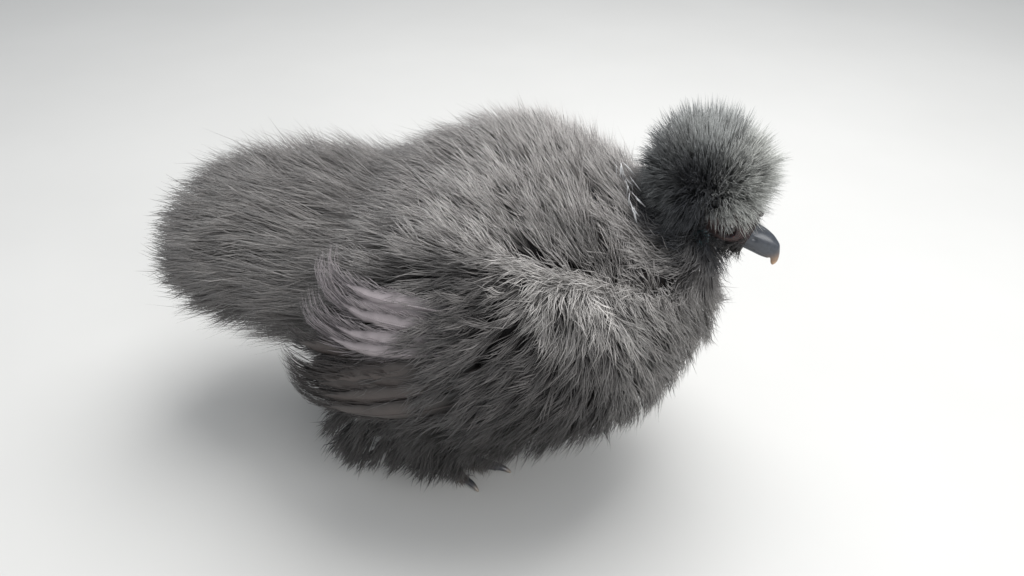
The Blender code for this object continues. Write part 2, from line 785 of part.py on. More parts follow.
def make_tail():
    tail = add("tail", tail_form(COAT_DEPTH).mesh(*TAIL_FACETS), "plumage")
    rng = random.Random(SEED + 5)
    form = tail_form()
    places = rooted(form, TAIL_APART, *TAIL_RUN)
    fuse(tail, [laid_lock(form, place, tail_lie, TAIL_LOCK, COAT_DEPTH, rng) for place in places])
    cut(tail, helper("tail_space", prism(inset_outline(TAIL_OUTLINE, GAP))), "INTERSECT")
    keep_largest(tail)


def make_neck():
    neck = add("neck", neck_form(NECK_DEPTH).mesh(*SMALL_FACETS), "dark_plumage")
    rng = random.Random(SEED + 6)
    form = neck_form()
    places = rooted(form, NECK_APART, *NECK_RUN)
    fuse(neck, [laid_lock(form, place, neck_lie, NECK_LOCK, NECK_DEPTH, rng) for place in places])
    cut(neck, helper("neck_space", prism(inset_outline(NECK_OUTLINE, GAP))), "INTERSECT")
    cut(neck, head_room())
    cut(neck, helper("crest_space", prism(inset_outline(CREST_FLOOR, -GAP))))
    clear_of_face_parts(neck)
    keep_largest(neck)


def clear_of_face_parts(obj):
    """Cuts an object clear of the earlobes, the wattles, the eyes and the beak."""
    frame = head_frame()
    parts = ((EAR_LOBE_PLACE, EAR_LOBE_SIZE), (WATTLE_PLACE, WATTLE_SIZE), (EYE_PLACE, EYE_CLEAR))
    for _, side in SIDES:
        for place, size in parts:
            cut(obj, helper("face_space", grown(ball(mirrored(place, side), size, frame), GAP)))
    for stations in (LOWER_BEAK_STATIONS, BEAK_STATIONS):
        cut(obj, beak_room(frame, stations))


def make_crest():
    core_size = [radius * CREST_CORE for radius in CREST_RADII]
    crest = add("crest", ball(CREST_CENTRE, core_size, None, *WING_FACETS), "dark_plumage")
    rng = random.Random(SEED + 7)
    locks = []
    for ring, (height, count, arch) in enumerate(CREST_RINGS):
        for k in range(count):
            bearing = math.tau * (k + 0.5 * (ring % 2)) / count + rng.uniform(-1, 1) * CREST_SPREAD[0]
            raised = height + rng.uniform(-1, 1) * CREST_SPREAD[1]
            locks.append(crest_lock(math.radians(raised), bearing, arch, rng))
    fuse(crest, locks)
    cut(crest, helper("crest_floor", prism(CREST_FLOOR)), "INTERSECT")
    cut(crest, head_room())
    for bulb in COMB_BULBS:
        around = (bulb[3] + GAP * 2,) * 3
        cut(crest, helper("comb_space", ball(bulb[:3], around, head_frame(), *BULB_FACETS)))
    clear_of_face_parts(crest)
    keep_largest(crest)


def crest_lock(height, bearing, arch, rng):
    """A plume that rises from the crown and falls over to the crest's round outline."""
    root = Vector(CREST_ROOT)
    level = Vector((math.cos(bearing), math.sin(bearing), 0))
    way = level * math.cos(height) + Vector((0, 0, math.sin(height)))
    tip = Vector(CREST_CENTRE) + Vector([way[i] * CREST_RADII[i] for i in range(3)])
    middle = root.lerp(tip, 0.5) + (level * CREST_LEAN + Vector((0, 0, 1))) * arch * CREST_RADII[2]
    points = []
    for share, _, _ in CREST_SHAPE:
        t = CREST_CLEAR_ROOT + (1 - CREST_CLEAR_ROOT) * share
        points.append(root * (1 - t) ** 2 + middle * 2 * t * (1 - t) + tip * t * t)
    across = level.cross(Vector((0, 0, 1)))
    normals = [across.cross(b - a).normalized() for a, b in zip(points, points[1:])]
    width, thickness = (value * rng.uniform(1 - LOCK_VARIES, 1 + LOCK_VARIES) for value in CREST_LOCK)
    widths = [width * row[1] for row in CREST_SHAPE]
    return lock(points, normals, widths, [thickness * row[2] for row in CREST_SHAPE])


def make_head():
    frame = head_frame()
    head = add("head", head_form().mesh(*HEAD_FACETS), "skin", 0.5)
    for _, side in SIDES:
        turns = [math.tau * k / LID_POINTS for k in range(LID_POINTS)]
        high = LID_RADIUS * LID_SHAPE
        ring = [(LID_RADIUS * math.cos(a), side * LID_STAND, high * math.sin(a)) for a in turns]
        points = [frame @ (Vector(mirrored(EYE_PLACE, side)) + Vector(p)) for p in ring]
        cut(head, helper("lid", closed_ring(points, LID_THICK, 5)), "UNION")
    for _, side in SIDES:
        cut(head, helper("eye_space", ball(mirrored(EYE_PLACE, side), (EYE_RADIUS + GAP,) * 3, frame)))
    cut(head, helper("beak_space", prism_in(frame, beak_outline(BEAK_BASE))))
    keep_largest(head)


def beak_outline(base):
    """The space ahead of the face, in the head's frame."""
    return ((base, -FACE_HALF), (BEAK_REACH, -FACE_HALF), (BEAK_REACH, FACE_HALF), (base, FACE_HALF))


def make_beak():
    frame = head_frame()
    ahead = beak_outline(BEAK_BASE + GAP)
    upper = add("beak_upper", Form(frame, BEAK_STATIONS, BEAK_ROUND).mesh(*BEAK_FACETS), "horn", 0.35)
    cut(upper, helper("ahead", prism_in(frame, ahead)), "INTERSECT")
    above = MOUTH_LINE + ABOVE_MOUTH
    cut(upper, helper("above", prism_in(frame, above)), "INTERSECT")
    for _, side in SIDES:
        cut(upper, helper("nostril", ball(mirrored(NOSTRIL_PLACE, side), NOSTRIL_SIZE, frame, *BULB_FACETS)))
    lower = add("beak_lower", Form(frame, LOWER_BEAK_STATIONS, BEAK_ROUND).mesh(*JAW_FACETS), "horn", 0.4)
    cut(lower, helper("ahead", prism_in(frame, ahead)), "INTERSECT")
    below = [(x - GAP, z - GAP) for x, z in MOUTH_LINE] + list(BELOW_MOUTH)
    cut(lower, helper("below", prism_in(frame, below)), "INTERSECT")


def make_face_parts():
    frame = head_frame()
    for name, side in SIDES:
        add("eye_" + name, ball(mirrored(EYE_PLACE, side), (EYE_RADIUS,) * 3, frame), "eye", 0.05)
        bulb = ball(mirrored(EAR_LOBE_PLACE, side), EAR_LOBE_SIZE, frame)
        lobe = add("earlobe_" + name, bulb, "lobe", 0.6)
        cut(lobe, head_room())
        keep_largest(lobe)
        wattle = add("wattle_" + name, ball(mirrored(WATTLE_PLACE, side), WATTLE_SIZE, frame), "skin", 0.6)
        cut(wattle, head_room())
        for stations in (LOWER_BEAK_STATIONS, BEAK_STATIONS):
            cut(wattle, beak_room(frame, stations))
        keep_largest(wattle)
    comb = add("comb", ball(COMB_BULBS[0][:3], (COMB_BULBS[0][3],) * 3, frame, *BULB_FACETS), "skin", 0.6)
    fuse(comb, [ball(bulb[:3], (bulb[3],) * 3, frame, *BULB_FACETS) for bulb in COMB_BULBS[1:]])
    cut(comb, head_room())
    cut(comb, beak_room(frame, BEAK_STATIONS))
    keep_largest(comb)


def toe_line(side, bearing, length, rise):
    """Points of one toe's centre from the ankle's foot to its end."""
    turn = math.radians(bearing)
    ahead = Vector((math.cos(turn), side * math.sin(turn), 0))
    start = Vector((ANKLE[0], side * FOOT_SPREAD, TOE_RADIUS - TOE_SINK))
    return [start + ahead * length * t + Vector((0, 0, rise * t * t)) for t, _ in TOE_RINGS]


def above_floor():
    return helper("floor", prism(((-WIDE, 0.0), (WIDE, 0.0), (WIDE, BLOCK_TOP), (-WIDE, BLOCK_TOP))))


def head_room():
    """A cutter the size of the head and the gap around it."""
    return helper("head_room", grown(head_form().mesh(*HEAD_FACETS), GAP))


def beak_room(frame, stations):
    """A cutter the size of one half of the beak and the gap around it."""
    return helper("beak_room", grown(Form(frame, stations, BEAK_ROUND).mesh(*JAW_FACETS), 2 * GAP))


def make_feet():
    top_line = THIGH_BOTTOM - GAP
    for name, side in SIDES:
        top = Vector((SHANK_TOP[0], side * (FOOT_SPREAD + 0.001), SHANK_TOP[1]))
        ankle = Vector((ANKLE[0], side * FOOT_SPREAD, ANKLE[1]))
        pad = Vector((ANKLE[0] + 0.002, side * FOOT_SPREAD, TOE_RADIUS))
        shank = tube((top, ankle, pad), (SHANK_RADIUS, SHANK_RADIUS * 1.05, SHANK_RADIUS * 0.8), 10)
        foot = add("foot_" + name, shank, "skin", 0.6)
        for _, bearing, length, rise, share in TOES:
            radius = TOE_RADIUS * share
            line = toe_line(side, bearing, length, rise)
            cut(foot, helper("toe", tube(line, [radius * row[1] for row in TOE_RINGS], 7)), "UNION")
        cut(foot, above_floor(), "INTERSECT")
        over = ((-WIDE, top_line), (WIDE, top_line), (WIDE, BLOCK_TOP), (-WIDE, BLOCK_TOP))
        cut(foot, helper("over", prism(over)))
        keep_largest(foot)
        make_claws(name, side)


def make_claws(name, side):
    for toe, bearing, length, rise, share in TOES:
        line = toe_line(side, bearing, length, rise)
        ahead = (line[-1] - line[-2]).normalized()
        root = line[-1] + ahead * GAP
        radius = TOE_RADIUS * share * CLAW_THICK
        drop = min(CLAW_DROP, root.z - radius / 2)
        points = [root + ahead * CLAW_LENGTH * t - Vector((0, 0, drop * t * t)) for t, _ in CLAW_RINGS]
        claw = tube(points, [radius * row[1] for row in CLAW_RINGS], 6)
        made = add(f"claw_{toe}_{name}", claw, "horn", 0.35)
        cut(made, above_floor(), "INTERSECT")


def make_thighs():
    for name, side in SIDES:
        thigh = add("thigh_" + name, thigh_form(side, THIGH_DEPTH).mesh(*SMALL_FACETS), "plumage")
        rng = random.Random(SEED + 20 + side)
        form = thigh_form(side)
        locks = []
        for place in rooted(form, THIGH_APART, *THIGH_RUN):
            if place.y * side > THIGH_INNER and place.z > THIGH_ROOT_LOW:
                locks.append(laid_lock(form, place, thigh_lie, THIGH_LOCK, THIGH_DEPTH, rng))
        fuse(thigh, locks)
        space = prism(inset_outline(THIGH_OUTLINE, GAP), *sorted((side * THIGH_INNER, side * WIDE)))
        cut(thigh, helper("thigh_space", space), "INTERSECT")
        back, ahead = FOOT_ROOM
        room = ((back, THIGH_BOTTOM), (ahead, THIGH_BOTTOM), (ahead, -BLOCK_TOP), (back, -BLOCK_TOP))
        cut(thigh, helper("foot_room", prism(room)))
        keep_largest(thigh)


def centre_on_floor():
    """Moves the whole bird so that the origin lies under the middle of its box, at the floor."""
    corners = np.array([obj.matrix_world @ v.co for obj in model.objects for v in obj.data.vertices])
    low, high = corners.min(axis=0), corners.max(axis=0)
    shift = Matrix.Translation((-(low[0] + high[0]) / 2, -(low[1] + high[1]) / 2, -low[2]))
    for obj in model.objects:
        obj.data.transform(shift)


for old in list(bpy.data.objects):
    bpy.data.objects.remove(old)
model = bpy.data.collections.new("silkie_hen")
cutters = bpy.data.collections.new("cutters")
bpy.context.scene.collection.children.link(model)
bpy.context.scene.collection.children.link(cutters)
make_torso()
make_wings()
make_tail()
make_neck()
make_crest()
make_head()
make_beak()
make_face_parts()
make_feet()
make_thighs()
centre_on_floor()
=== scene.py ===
"""The looks of a silkie hen: skin, loose plumes, wing quills, horn and eyes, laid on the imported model.

Places are written in the bird's own frame, in metres: it faces +X, its right side is -Y and the floor is
at 0. `at_home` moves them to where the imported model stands.
"""

import math

import bpy
import numpy as np
from mathutils import Matrix, Vector
from mathutils.bvhtree import BVHTree


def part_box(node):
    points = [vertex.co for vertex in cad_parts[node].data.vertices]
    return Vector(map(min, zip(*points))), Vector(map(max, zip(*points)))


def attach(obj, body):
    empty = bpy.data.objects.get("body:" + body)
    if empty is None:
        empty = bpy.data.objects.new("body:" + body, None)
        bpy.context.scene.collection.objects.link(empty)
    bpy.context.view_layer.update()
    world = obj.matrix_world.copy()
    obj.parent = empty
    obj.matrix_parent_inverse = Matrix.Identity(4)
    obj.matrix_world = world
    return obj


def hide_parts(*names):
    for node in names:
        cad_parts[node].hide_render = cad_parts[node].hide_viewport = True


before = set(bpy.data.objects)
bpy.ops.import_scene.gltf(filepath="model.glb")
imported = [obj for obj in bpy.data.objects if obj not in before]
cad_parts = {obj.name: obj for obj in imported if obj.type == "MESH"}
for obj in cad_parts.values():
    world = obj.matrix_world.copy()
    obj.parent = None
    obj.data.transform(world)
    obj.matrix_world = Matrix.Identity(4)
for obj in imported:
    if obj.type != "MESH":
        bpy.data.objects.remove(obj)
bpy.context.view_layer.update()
SEED = 23
SIDES = (("right", -1), ("left", 1))
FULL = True

# The forms that the plumage reaches to: distance along the form, height of its centre, half width and half
# height.
TORSO = (
    (-0.060, 0.100, 0.070, 0.046), (-0.040, 0.105, 0.088, 0.064), (-0.010, 0.108, 0.102, 0.083),
    (0.030, 0.109, 0.107, 0.100), (0.060, 0.110, 0.105, 0.102), (0.085, 0.111, 0.096, 0.092),
    (0.110, 0.112, 0.085, 0.076), (0.140, 0.114, 0.064, 0.056), (0.167, 0.118, 0.036, 0.034),
)
TORSO_ROUND = (0.030, 0.036)
TAIL_ROOT = (-0.010, 0.0, 0.126)
TAIL = (
    (0.000, -0.002, 0.056, 0.050), (0.035, 0.000, 0.064, 0.056), (0.070, -0.003, 0.068, 0.060),
    (0.105, -0.008, 0.064, 0.056), (0.140, -0.013, 0.050, 0.044), (0.167, -0.016, 0.026, 0.024),
)
TAIL_ROUND = (0.020, 0.036)
NECK_FOOT = (0.106, 0.0, 0.120)
NECK_TOP = (0.150, 0.003, 0.176)
NECK = (
    (-0.010, 0.0, 0.052, 0.046), (0.020, 0.0, 0.046, 0.042), (0.045, 0.0, 0.038, 0.035),
    (0.078, 0.0, 0.029, 0.027),
)
NECK_ROUND = (0.015, 0.020)
THIGH_OFFSET = 0.043
THIGH = (
    (-0.050, 0.046, 0.048, 0.034), (-0.025, 0.050, 0.050, 0.042), (0.010, 0.053, 0.050, 0.046),
    (0.045, 0.056, 0.044, 0.044), (0.068, 0.060, 0.030, 0.030),
)
THIGH_ROUND = (0.020, 0.020)
HEAD_CENTRE = (0.154, 0.004, 0.175)
HEAD_YAW = math.radians(-12)
HEAD_PITCH = math.radians(15)
HEAD = (
    (-0.024, 0.001, 0.0135, 0.0130), (-0.014, 0.002, 0.0150, 0.0150), (-0.004, 0.002, 0.0152, 0.0155),
    (0.006, 0.001, 0.0142, 0.0145), (0.014, -0.001, 0.0118, 0.0118), (0.022, -0.004, 0.0084, 0.0086),
)
HEAD_ROUND = (0.014, 0.0045)

# How deep the skin lies under each of those forms.
TORSO_DEPTH = 0.030
TAIL_DEPTH = 0.036
NECK_DEPTH = 0.014
THIGH_DEPTH = 0.022

# Places on the head, in its own frame: X along the beak, Y to its left, Z up.
EYE_PLACE = (0.0096, 0.0092, -0.0006)
EYE_RADIUS = 0.0048
SOCKET_CLEAR = 0.00005
LOBE_PLACE = (0.0000, 0.0134, -0.0118)
LOBE_SIZE = (0.0042, 0.0017, 0.0052)
WATTLE_PLACE = (0.0165, 0.0042, -0.0135)
WATTLE_SIZE = (0.0028, 0.0014, 0.0034)
CREST_CENTRE = (0.1465, 0.001, 0.1925)
CREST_RADII = (0.0390, 0.0380, 0.0415)
CREST_ROOT = (0.148, 0.002, 0.180)

# Where the white pin feathers stand on the nape.
PIN_SPOTS = (
    (0.102, -0.004, 0.193), (0.106, -0.013, 0.189), (0.111, -0.019, 0.185), (0.112, -0.027, 0.183),
    (0.117, 0.0, 0.186),
)

# The shoulder whorl that the side's plumes fall from, for the left side.
WHORL = (0.103, 0.058, 0.172)
TAIL_FOCUS = (-0.004, 0.0, 0.125)

# Each region of the plumage: how far a plume runs over the form, its width, its barbs, a barb's width,
# how much it waves, how far it stands off, how late it leaves the skin, the plumes in each 100 mm2, how much
# its barbs gather into wisps, how much one plume differs from the next, and its colour at root and tip.
REGIONS = {
    "hump": (0.036, 0.017, 17, 0.00050, 0.0010, 0.0055, 1.20, 2.7, 0.35, 0.07, "#5d5957", "#b0aca9"),
    "shoulder": (0.042, 0.013, 15, 0.00058, 0.0018, 0.0035, 1.60, 2.5, 0.90, 0.18, "#2b2828", "#c9c5c1"),
    "breast": (0.038, 0.013, 16, 0.00055, 0.0016, 0.0028, 1.50, 2.4, 0.80, 0.15, "#393534", "#b0aca8"),
    "flank": (0.046, 0.014, 16, 0.00055, 0.0016, 0.0025, 1.80, 2.3, 0.85, 0.20, "#1f1c1c", "#6f6b69"),
    "rump": (0.042, 0.017, 17, 0.00050, 0.0013, 0.0050, 1.40, 2.5, 0.40, 0.09, "#555150", "#a09c99"),
    # The belly's colours are darkened to paint the shade under the body.
    "belly": (0.036, 0.016, 16, 0.00055, 0.0014, 0.0040, 1.30, 1.6, 0.45, 0.13, "#171311", "#352e2a"),
    "tail": (0.064, 0.021, 19, 0.00050, 0.0016, 0.0060, 1.25, 2.1, 0.35, 0.08, "#4a4644", "#96928f"),
    "neck": (0.022, 0.011, 14, 0.00045, 0.0010, 0.0040, 1.20, 3.6, 0.40, 0.08, "#1a1b1e", "#34363a"),
    "thigh": (0.034, 0.014, 16, 0.00055, 0.0014, 0.0030, 1.40, 1.9, 0.50, 0.13, "#191513", "#3a322d"),
}
NAMES = list(REGIONS)
REACH, WIDTH, BARBS, THICK, WAVE, STAND, LATE, DENSITY, WISPY, UNLIKE, ROOT_TONE, TIP_TONE = range(12)

# Markings and painted shade, which lie alike on both sides: the near-black neck, and painted shade in the
# fold above each shoulder and in the gap between tail and wing.
NAPE_CENTRE = (0.137, 0.0, 0.184)
NAPE_RADII = (0.039, 0.040, 0.038)
NAPE_TONES = ("#131417", "#2d2f34")
SHOULDER_FOLD = (
    (0.070, 0.048, 0.195), (0.077, 0.049, 0.193), (0.091, 0.050, 0.186), (0.106, 0.052, 0.174),
)
WING_GAP = ((-0.016, 0.080, 0.152), (-0.008, 0.078, 0.162), (0.016, 0.083, 0.168))
# The crest's colours: a dark root, and tips with painted light, lightest on the front, then top and back,
# darkest at the sides.
CREST_TONES = {"root": "#17181a", "side": "#33353a", "back": "#6d6f6f", "front": "#bcbdb8", "top": "#939593"}


# Plain helpers


def linear(hex_colour):
    """An sRGB hex colour as linear red, green and blue."""
    parts = [int(hex_colour[i : i + 2], 16) / 255 for i in (1, 3, 5)]
    return np.array([c / 12.92 if c <= 0.04045 else ((c + 0.055) / 1.055) ** 2.4 for c in parts])


def unit(vectors):
    return vectors / np.maximum(np.linalg.norm(vectors, axis=-1, keepdims=True), 1e-9)


def eased(value, low, high):
    """0 below low and 1 above high, with a smooth rise between."""
    t = np.clip((np.asarray(value, float) - low) / (high - low), 0, 1)
    return t * t * (3 - 2 * t)


def laid_flat(ways, normals):
    """Directions turned down until they lie along a surface with these normals."""
    return unit(ways - normals * (ways * normals).sum(axis=-1, keepdims=True))


def on_side(place, side):
    """A place given for the left side, on the side asked for."""
    return np.array((place[0], side * place[1], place[2]))


def placed(place, points):
    """Points of a frame's own axes, in the bird's."""
    return np.asarray(points, float) @ place[:3, :3].T + place[:3, 3]


def moved(x, y, z):
    return np.array(Matrix.Translation((x, y, z)))


HEAD_TURN = Matrix.Rotation(HEAD_YAW, 4, "Z") @ Matrix.Rotation(HEAD_PITCH, 4, "Y")
HEAD_PLACE = moved(*HEAD_CENTRE) @ np.array(HEAD_TURN)
eye_low, eye_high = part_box("eye_right")
eye_own = placed(HEAD_PLACE, on_side(EYE_PLACE, -1))
HOME = np.array((eye_low + eye_high) / 2) - eye_own
HOME[2] = 0.0


def at_home(points):
    return np.asarray(points, float) + HOME


def in_head(points):
    """Points of the bird's frame, on the head's own axes."""
    return (np.asarray(points, float) - HEAD_PLACE[:3, 3]) @ HEAD_PLACE[:3, :3]


def band(rings, around, flip=False):
    """The four-sided faces between rings of so many points each."""
    faces = []
    for i in range(rings - 1):
        for k in range(around):
            a, b = i * around + k, i * around + (k + 1) % around
            faces.append((a, a + around, b + around, b) if flip else (a, b, b + around, a + around))
    return faces


class Form:
    """A rounded body along its own X axis, from stations of centre height, half width and half height."""

    def __init__(self, place, stations, rounding, inset=0.0):
        self.place = place
        self.table = np.array(stations, float)
        self.slopes = np.gradient(self.table[:, 1:], self.table[:, 0], axis=0)
        self.start = self.table[0, 0] + inset
        self.end = self.table[-1, 0] - inset
        self.rounding = rounding
        self.inset = inset

    def section(self, s):
        """Centre height, half width and half height at each s, closing to a point at both ends."""
        keys = self.table[:, 0]
        i = np.clip(np.searchsorted(keys, s) - 1, 0, len(keys) - 2)
        span = keys[i + 1] - keys[i]
        t = np.clip((s - keys[i]) / span, 0, 1)[:, None]
        span = span[:, None]
        rows = (2 * t**3 - 3 * t**2 + 1) * self.table[i, 1:] + (t**3 - 2 * t**2 + t) * span * self.slopes[i]
        rows += (3 * t**2 - 2 * t**3) * self.table[i + 1, 1:] + (t**3 - t**2) * span * self.slopes[i + 1]
        near = np.clip((s - self.start) / self.rounding[0], 0, 1)
        far = np.clip((self.end - s) / self.rounding[1], 0, 1)
        share = np.sqrt(np.maximum(0, 1 - (1 - near) ** 2) * np.maximum(0, 1 - (1 - far) ** 2))
        wide, high = (np.maximum(0, rows[:, k] - self.inset) * share for k in (1, 2))
        return rows[:, 0], wide, high

    def points(self, s, turn):
        rise, wide, high = self.section(s)
        return placed(self.place, np.stack([s, wide * np.cos(turn), rise + high * np.sin(turn)], axis=-1))

    def above(self, places):
        """How far places lie outside the form, roughly; below 0 inside it."""
        local = (places - self.place[:3, 3]) @ self.place[:3, :3]
        s = np.clip(local[:, 0], self.start + 0.004, self.end - 0.004)
        rise, wide, high = self.section(s)
        across = np.hypot(local[:, 1] / wide, (local[:, 2] - rise) / high)
        return (across - 1) * np.minimum(wide, high) + np.abs(local[:, 0] - s)

    def shell(self, around, along):
        """The form as points and faces of a closed mesh with a pole at each end."""
        polar = np.linspace(0, math.pi, along + 1)[1:-1]
        s = self.start + (self.end - self.start) * (1 - np.cos(polar)) / 2
        turn = np.arange(around) * math.tau / around
        grid = self.points(np.repeat(s, around), np.tile(turn, len(s)))
        ends = self.points(np.array([self.start, self.end]), np.zeros(2))
        points = np.vstack([grid, ends])
        faces = band(len(s), around)
        first, last = len(grid), len(grid) + 1
        base = (len(s) - 1) * around
        for k in range(around):
            faces.append((first, (k + 1) % around, k))
            faces.append((last, base + k, base + (k + 1) % around))
        return points, faces


torso_form = Form(np.eye(4), TORSO, TORSO_ROUND)
tail_form = Form(moved(*TAIL_ROOT) @ np.array(Matrix.Rotation(math.pi, 4, "Z")), TAIL, TAIL_ROUND)
neck_turn = np.array((Vector(NECK_TOP) - Vector(NECK_FOOT)).to_track_quat("X", "Z").to_matrix().to_4x4())
neck_form = Form(moved(*NECK_FOOT) @ neck_turn, NECK, NECK_ROUND)
thigh_forms = [Form(moved(0, side * THIGH_OFFSET, 0), THIGH, THIGH_ROUND) for _, side in SIDES]
head_form = Form(HEAD_PLACE, HEAD, HEAD_ROUND)


def inset(form, by):
    return Form(form.place, form.table, form.rounding, by)


# Meshes


def mesh_object(name, points, faces, smooth=True):
    """A mesh object from points and faces, not yet placed."""
    mesh = bpy.data.meshes.new(name)
    mesh.from_pydata([tuple(p) for p in points], [], [tuple(f) for f in faces])
    if smooth:
        mesh.shade_smooth()
    made = bpy.data.objects.new(name, mesh)
    bpy.context.scene.collection.objects.link(made)
    return made


def joined(shells):
    """Several point and face lists as one."""
    points, faces, start = [], [], 0
    for more, these in shells:
        points.append(np.asarray(more))
        faces += [tuple(i + start for i in f) for f in these]
        start += len(more)
    return np.vstack(points), faces


def ellipsoid(centre, radii, place=None, around=20, along=14):
    """A closed ellipsoid as points and faces."""
    polar = np.linspace(0, math.pi, along + 1)[1:-1]
    turn = np.arange(around) * math.tau / around
    p, t = np.repeat(polar, around), np.tile(turn, len(polar))
    ball = np.stack([np.sin(p) * np.cos(t), np.sin(p) * np.sin(t), np.cos(p)], axis=-1)
    ball = np.vstack([ball, (0, 0, 1), (0, 0, -1)]) * radii + centre
    rows = len(polar)
    faces = band(rows, around, flip=True)
    for k in range(around):
        faces.append((rows * around, k, (k + 1) % around))
        faces.append((rows * around + 1, (rows - 1) * around + (k + 1) % around, (rows - 1) * around + k))
    return (ball if place is None else placed(place, ball)), faces


def tube(points, radii, sides=12):
    """A closed round tube through points, with a radius at each, as points and faces."""
    points = np.asarray(points, float)
    radii = np.asarray(radii, float)
    along = unit(np.gradient(points, axis=0))
    up = np.where(np.abs(along[:, 2:3]) < 0.9, (0.0, 0.0, 1.0), (1.0, 0.0, 0.0))
    across = unit(np.cross(along, up))
    up = np.cross(across, along)
    turn = np.arange(sides) * math.tau / sides
    rings = points[:, None] + radii[:, None, None] * (
        np.cos(turn)[None, :, None] * across[:, None] + np.sin(turn)[None, :, None] * up[:, None]
    )
    count = len(points)
    faces = band(count, sides, flip=True)
    faces.append(tuple(range(sides)))
    faces.append(tuple(range((count - 1) * sides, count * sides))[::-1])
    return rings.reshape(-1, 3), faces


def ring_tube(points, radius, sides=10):
    """A closed hoop of round section through points that run full circle."""
    points = np.asarray(points, float)
    along = unit(np.roll(points, -1, axis=0) - np.roll(points, 1, axis=0))
    out = unit(points - points.mean(axis=0))
    axis = np.cross(along, out)
    turn = np.arange(sides) * math.tau / sides
    rings = points[:, None] + radius * (
        np.cos(turn)[None, :, None] * out[:, None] + np.sin(turn)[None, :, None] * axis[:, None]
    )
    count = len(points)
    faces = []
    for i in range(count):
        j = (i + 1) % count
        for k in range(sides):
            m = (k + 1) % sides
            faces.append((i * sides + k, j * sides + k, j * sides + m, i * sides + m))
    return rings.reshape(-1, 3), faces


def settled(obj):
    """The object with its modifiers worked into its mesh."""
    graph = bpy.context.evaluated_depsgraph_get()
    made = bpy.data.meshes.new_from_object(obj.evaluated_get(graph))
    obj.modifiers.clear()
    old = obj.data
    obj.data = made
    bpy.data.meshes.remove(old)
    return obj


def remeshed(name, shells, voxel, rounds):
    """Overlapping closed shells grown together into one smooth skin."""
    made = mesh_object(name, *joined(shells))
    grow = made.modifiers.new("grow", "REMESH")
    grow.mode = "VOXEL"
    grow.voxel_size = voxel
    soften = made.modifiers.new("soften", "SMOOTH")
    soften.factor = 0.5
    soften.iterations = rounds
    return settled(made)


def united(obj, other, operation="UNION"):
    """Joins another closed mesh to an object, or cuts it away, by one Boolean."""
    join = obj.modifiers.new("join", "BOOLEAN")
    join.operation = operation
    join.object = other
    join.solver = "MANIFOLD"
    settled(obj)
    bpy.data.objects.remove(other)
    return obj


def points_of(obj):
    flat = np.zeros(len(obj.data.vertices) * 3)
    obj.data.vertices.foreach_get("co", flat)
    return flat.reshape(-1, 3)


def set_points(obj, points):
    obj.data.vertices.foreach_set("co", np.asarray(points, float).ravel())
    obj.data.update()


def normals_of(obj):
    flat = np.zeros(len(obj.data.vertices) * 3)
    obj.data.vertices.foreach_get("normal", flat)
    return flat.reshape(-1, 3)


class Surface:
    """A mesh that places can be brought down to, with a smooth normal at each."""

    def __init__(self, obj):
        self.points = points_of(obj)
        self.normals = normals_of(obj)
        faces = [tuple(f.vertices) for f in obj.data.polygons]
        self.tree = BVHTree.FromPolygons([tuple(p) for p in self.points], faces)
        self.face_normals = unit(np.array([self.normals[list(f)].sum(axis=0) for f in faces]))

    def under(self, places):
        """The nearest point of the surface to each place, and its normal."""
        found = [self.tree.find_nearest(tuple(p)) for p in places]
        points = np.array([tuple(f[0]) for f in found])
        return points, self.face_normals[[f[2] for f in found]]


def give_colours(obj, colours, name="tone"):
    """A colour at each point of a mesh, in linear light."""
    layer = obj.data.color_attributes.new(name, "FLOAT_COLOR", "POINT")
    values = np.ones((len(colours), 4), np.float32)
    values[:, :3] = colours
    layer.data.foreach_set("color", values.ravel())


def give_number(obj, name, values):
    layer = obj.data.attributes.new(name, "FLOAT", "POINT")
    layer.data.foreach_set("value", np.asarray(values, np.float32))


# The plumage's regions, lie, markings and painted shade and light


def region_weights(places):
    """How much of each region a place on the plumage belongs to."""
    x, z = places[:, 0], places[:, 2]
    away = np.abs(places[:, 1])
    thigh_rise = np.minimum(*(form.above(places) for form in thigh_forms))
    rises = [form.above(places) for form in (torso_form, tail_form, neck_form)] + [thigh_rise]
    rises = np.stack(rises, axis=1)
    rises -= rises.min(axis=1, keepdims=True)
    parts = np.exp(-((rises / 0.007) ** 2))
    parts[:, 1] *= eased(-x, 0.012, 0.045)
    parts /= parts.sum(axis=1, keepdims=True)
    torso, tail, neck, thigh = parts.T
    low = 1 - eased(z, 0.040, 0.085)
    hump = eased(z + 0.35 * np.maximum(0, x - 0.06) - 0.25 * away, 0.150, 0.172) * eased(x, -0.012, 0.020)
    rump = (1 - hump) * (1 - eased(x, -0.005, 0.030)) * eased(z, 0.130, 0.155)
    spread = np.linalg.norm(np.stack([x - WHORL[0], away - WHORL[1], z - WHORL[2]], axis=1), axis=1)
    shoulder = (1 - eased(spread, 0.035, 0.075)) * (1 - hump) * (1 - low)
    breast = eased(x, 0.105, 0.135) * (1 - hump) * (1 - shoulder) * (1 - 0.6 * low)
    belly = low * (1 - breast)
    flank = np.clip(1 - hump - rump - shoulder - breast - belly, 0, 1)
    weights = np.zeros((len(places), len(NAMES)))
    for name, share in (("hump", hump), ("shoulder", shoulder), ("breast", breast), ("flank", flank),
                        ("rump", rump), ("belly", belly)):
        weights[:, NAMES.index(name)] = torso * share
    for name, share in (("tail", tail), ("neck", neck), ("thigh", thigh)):
        weights[:, NAMES.index(name)] = share
    return weights / weights.sum(axis=1, keepdims=True)


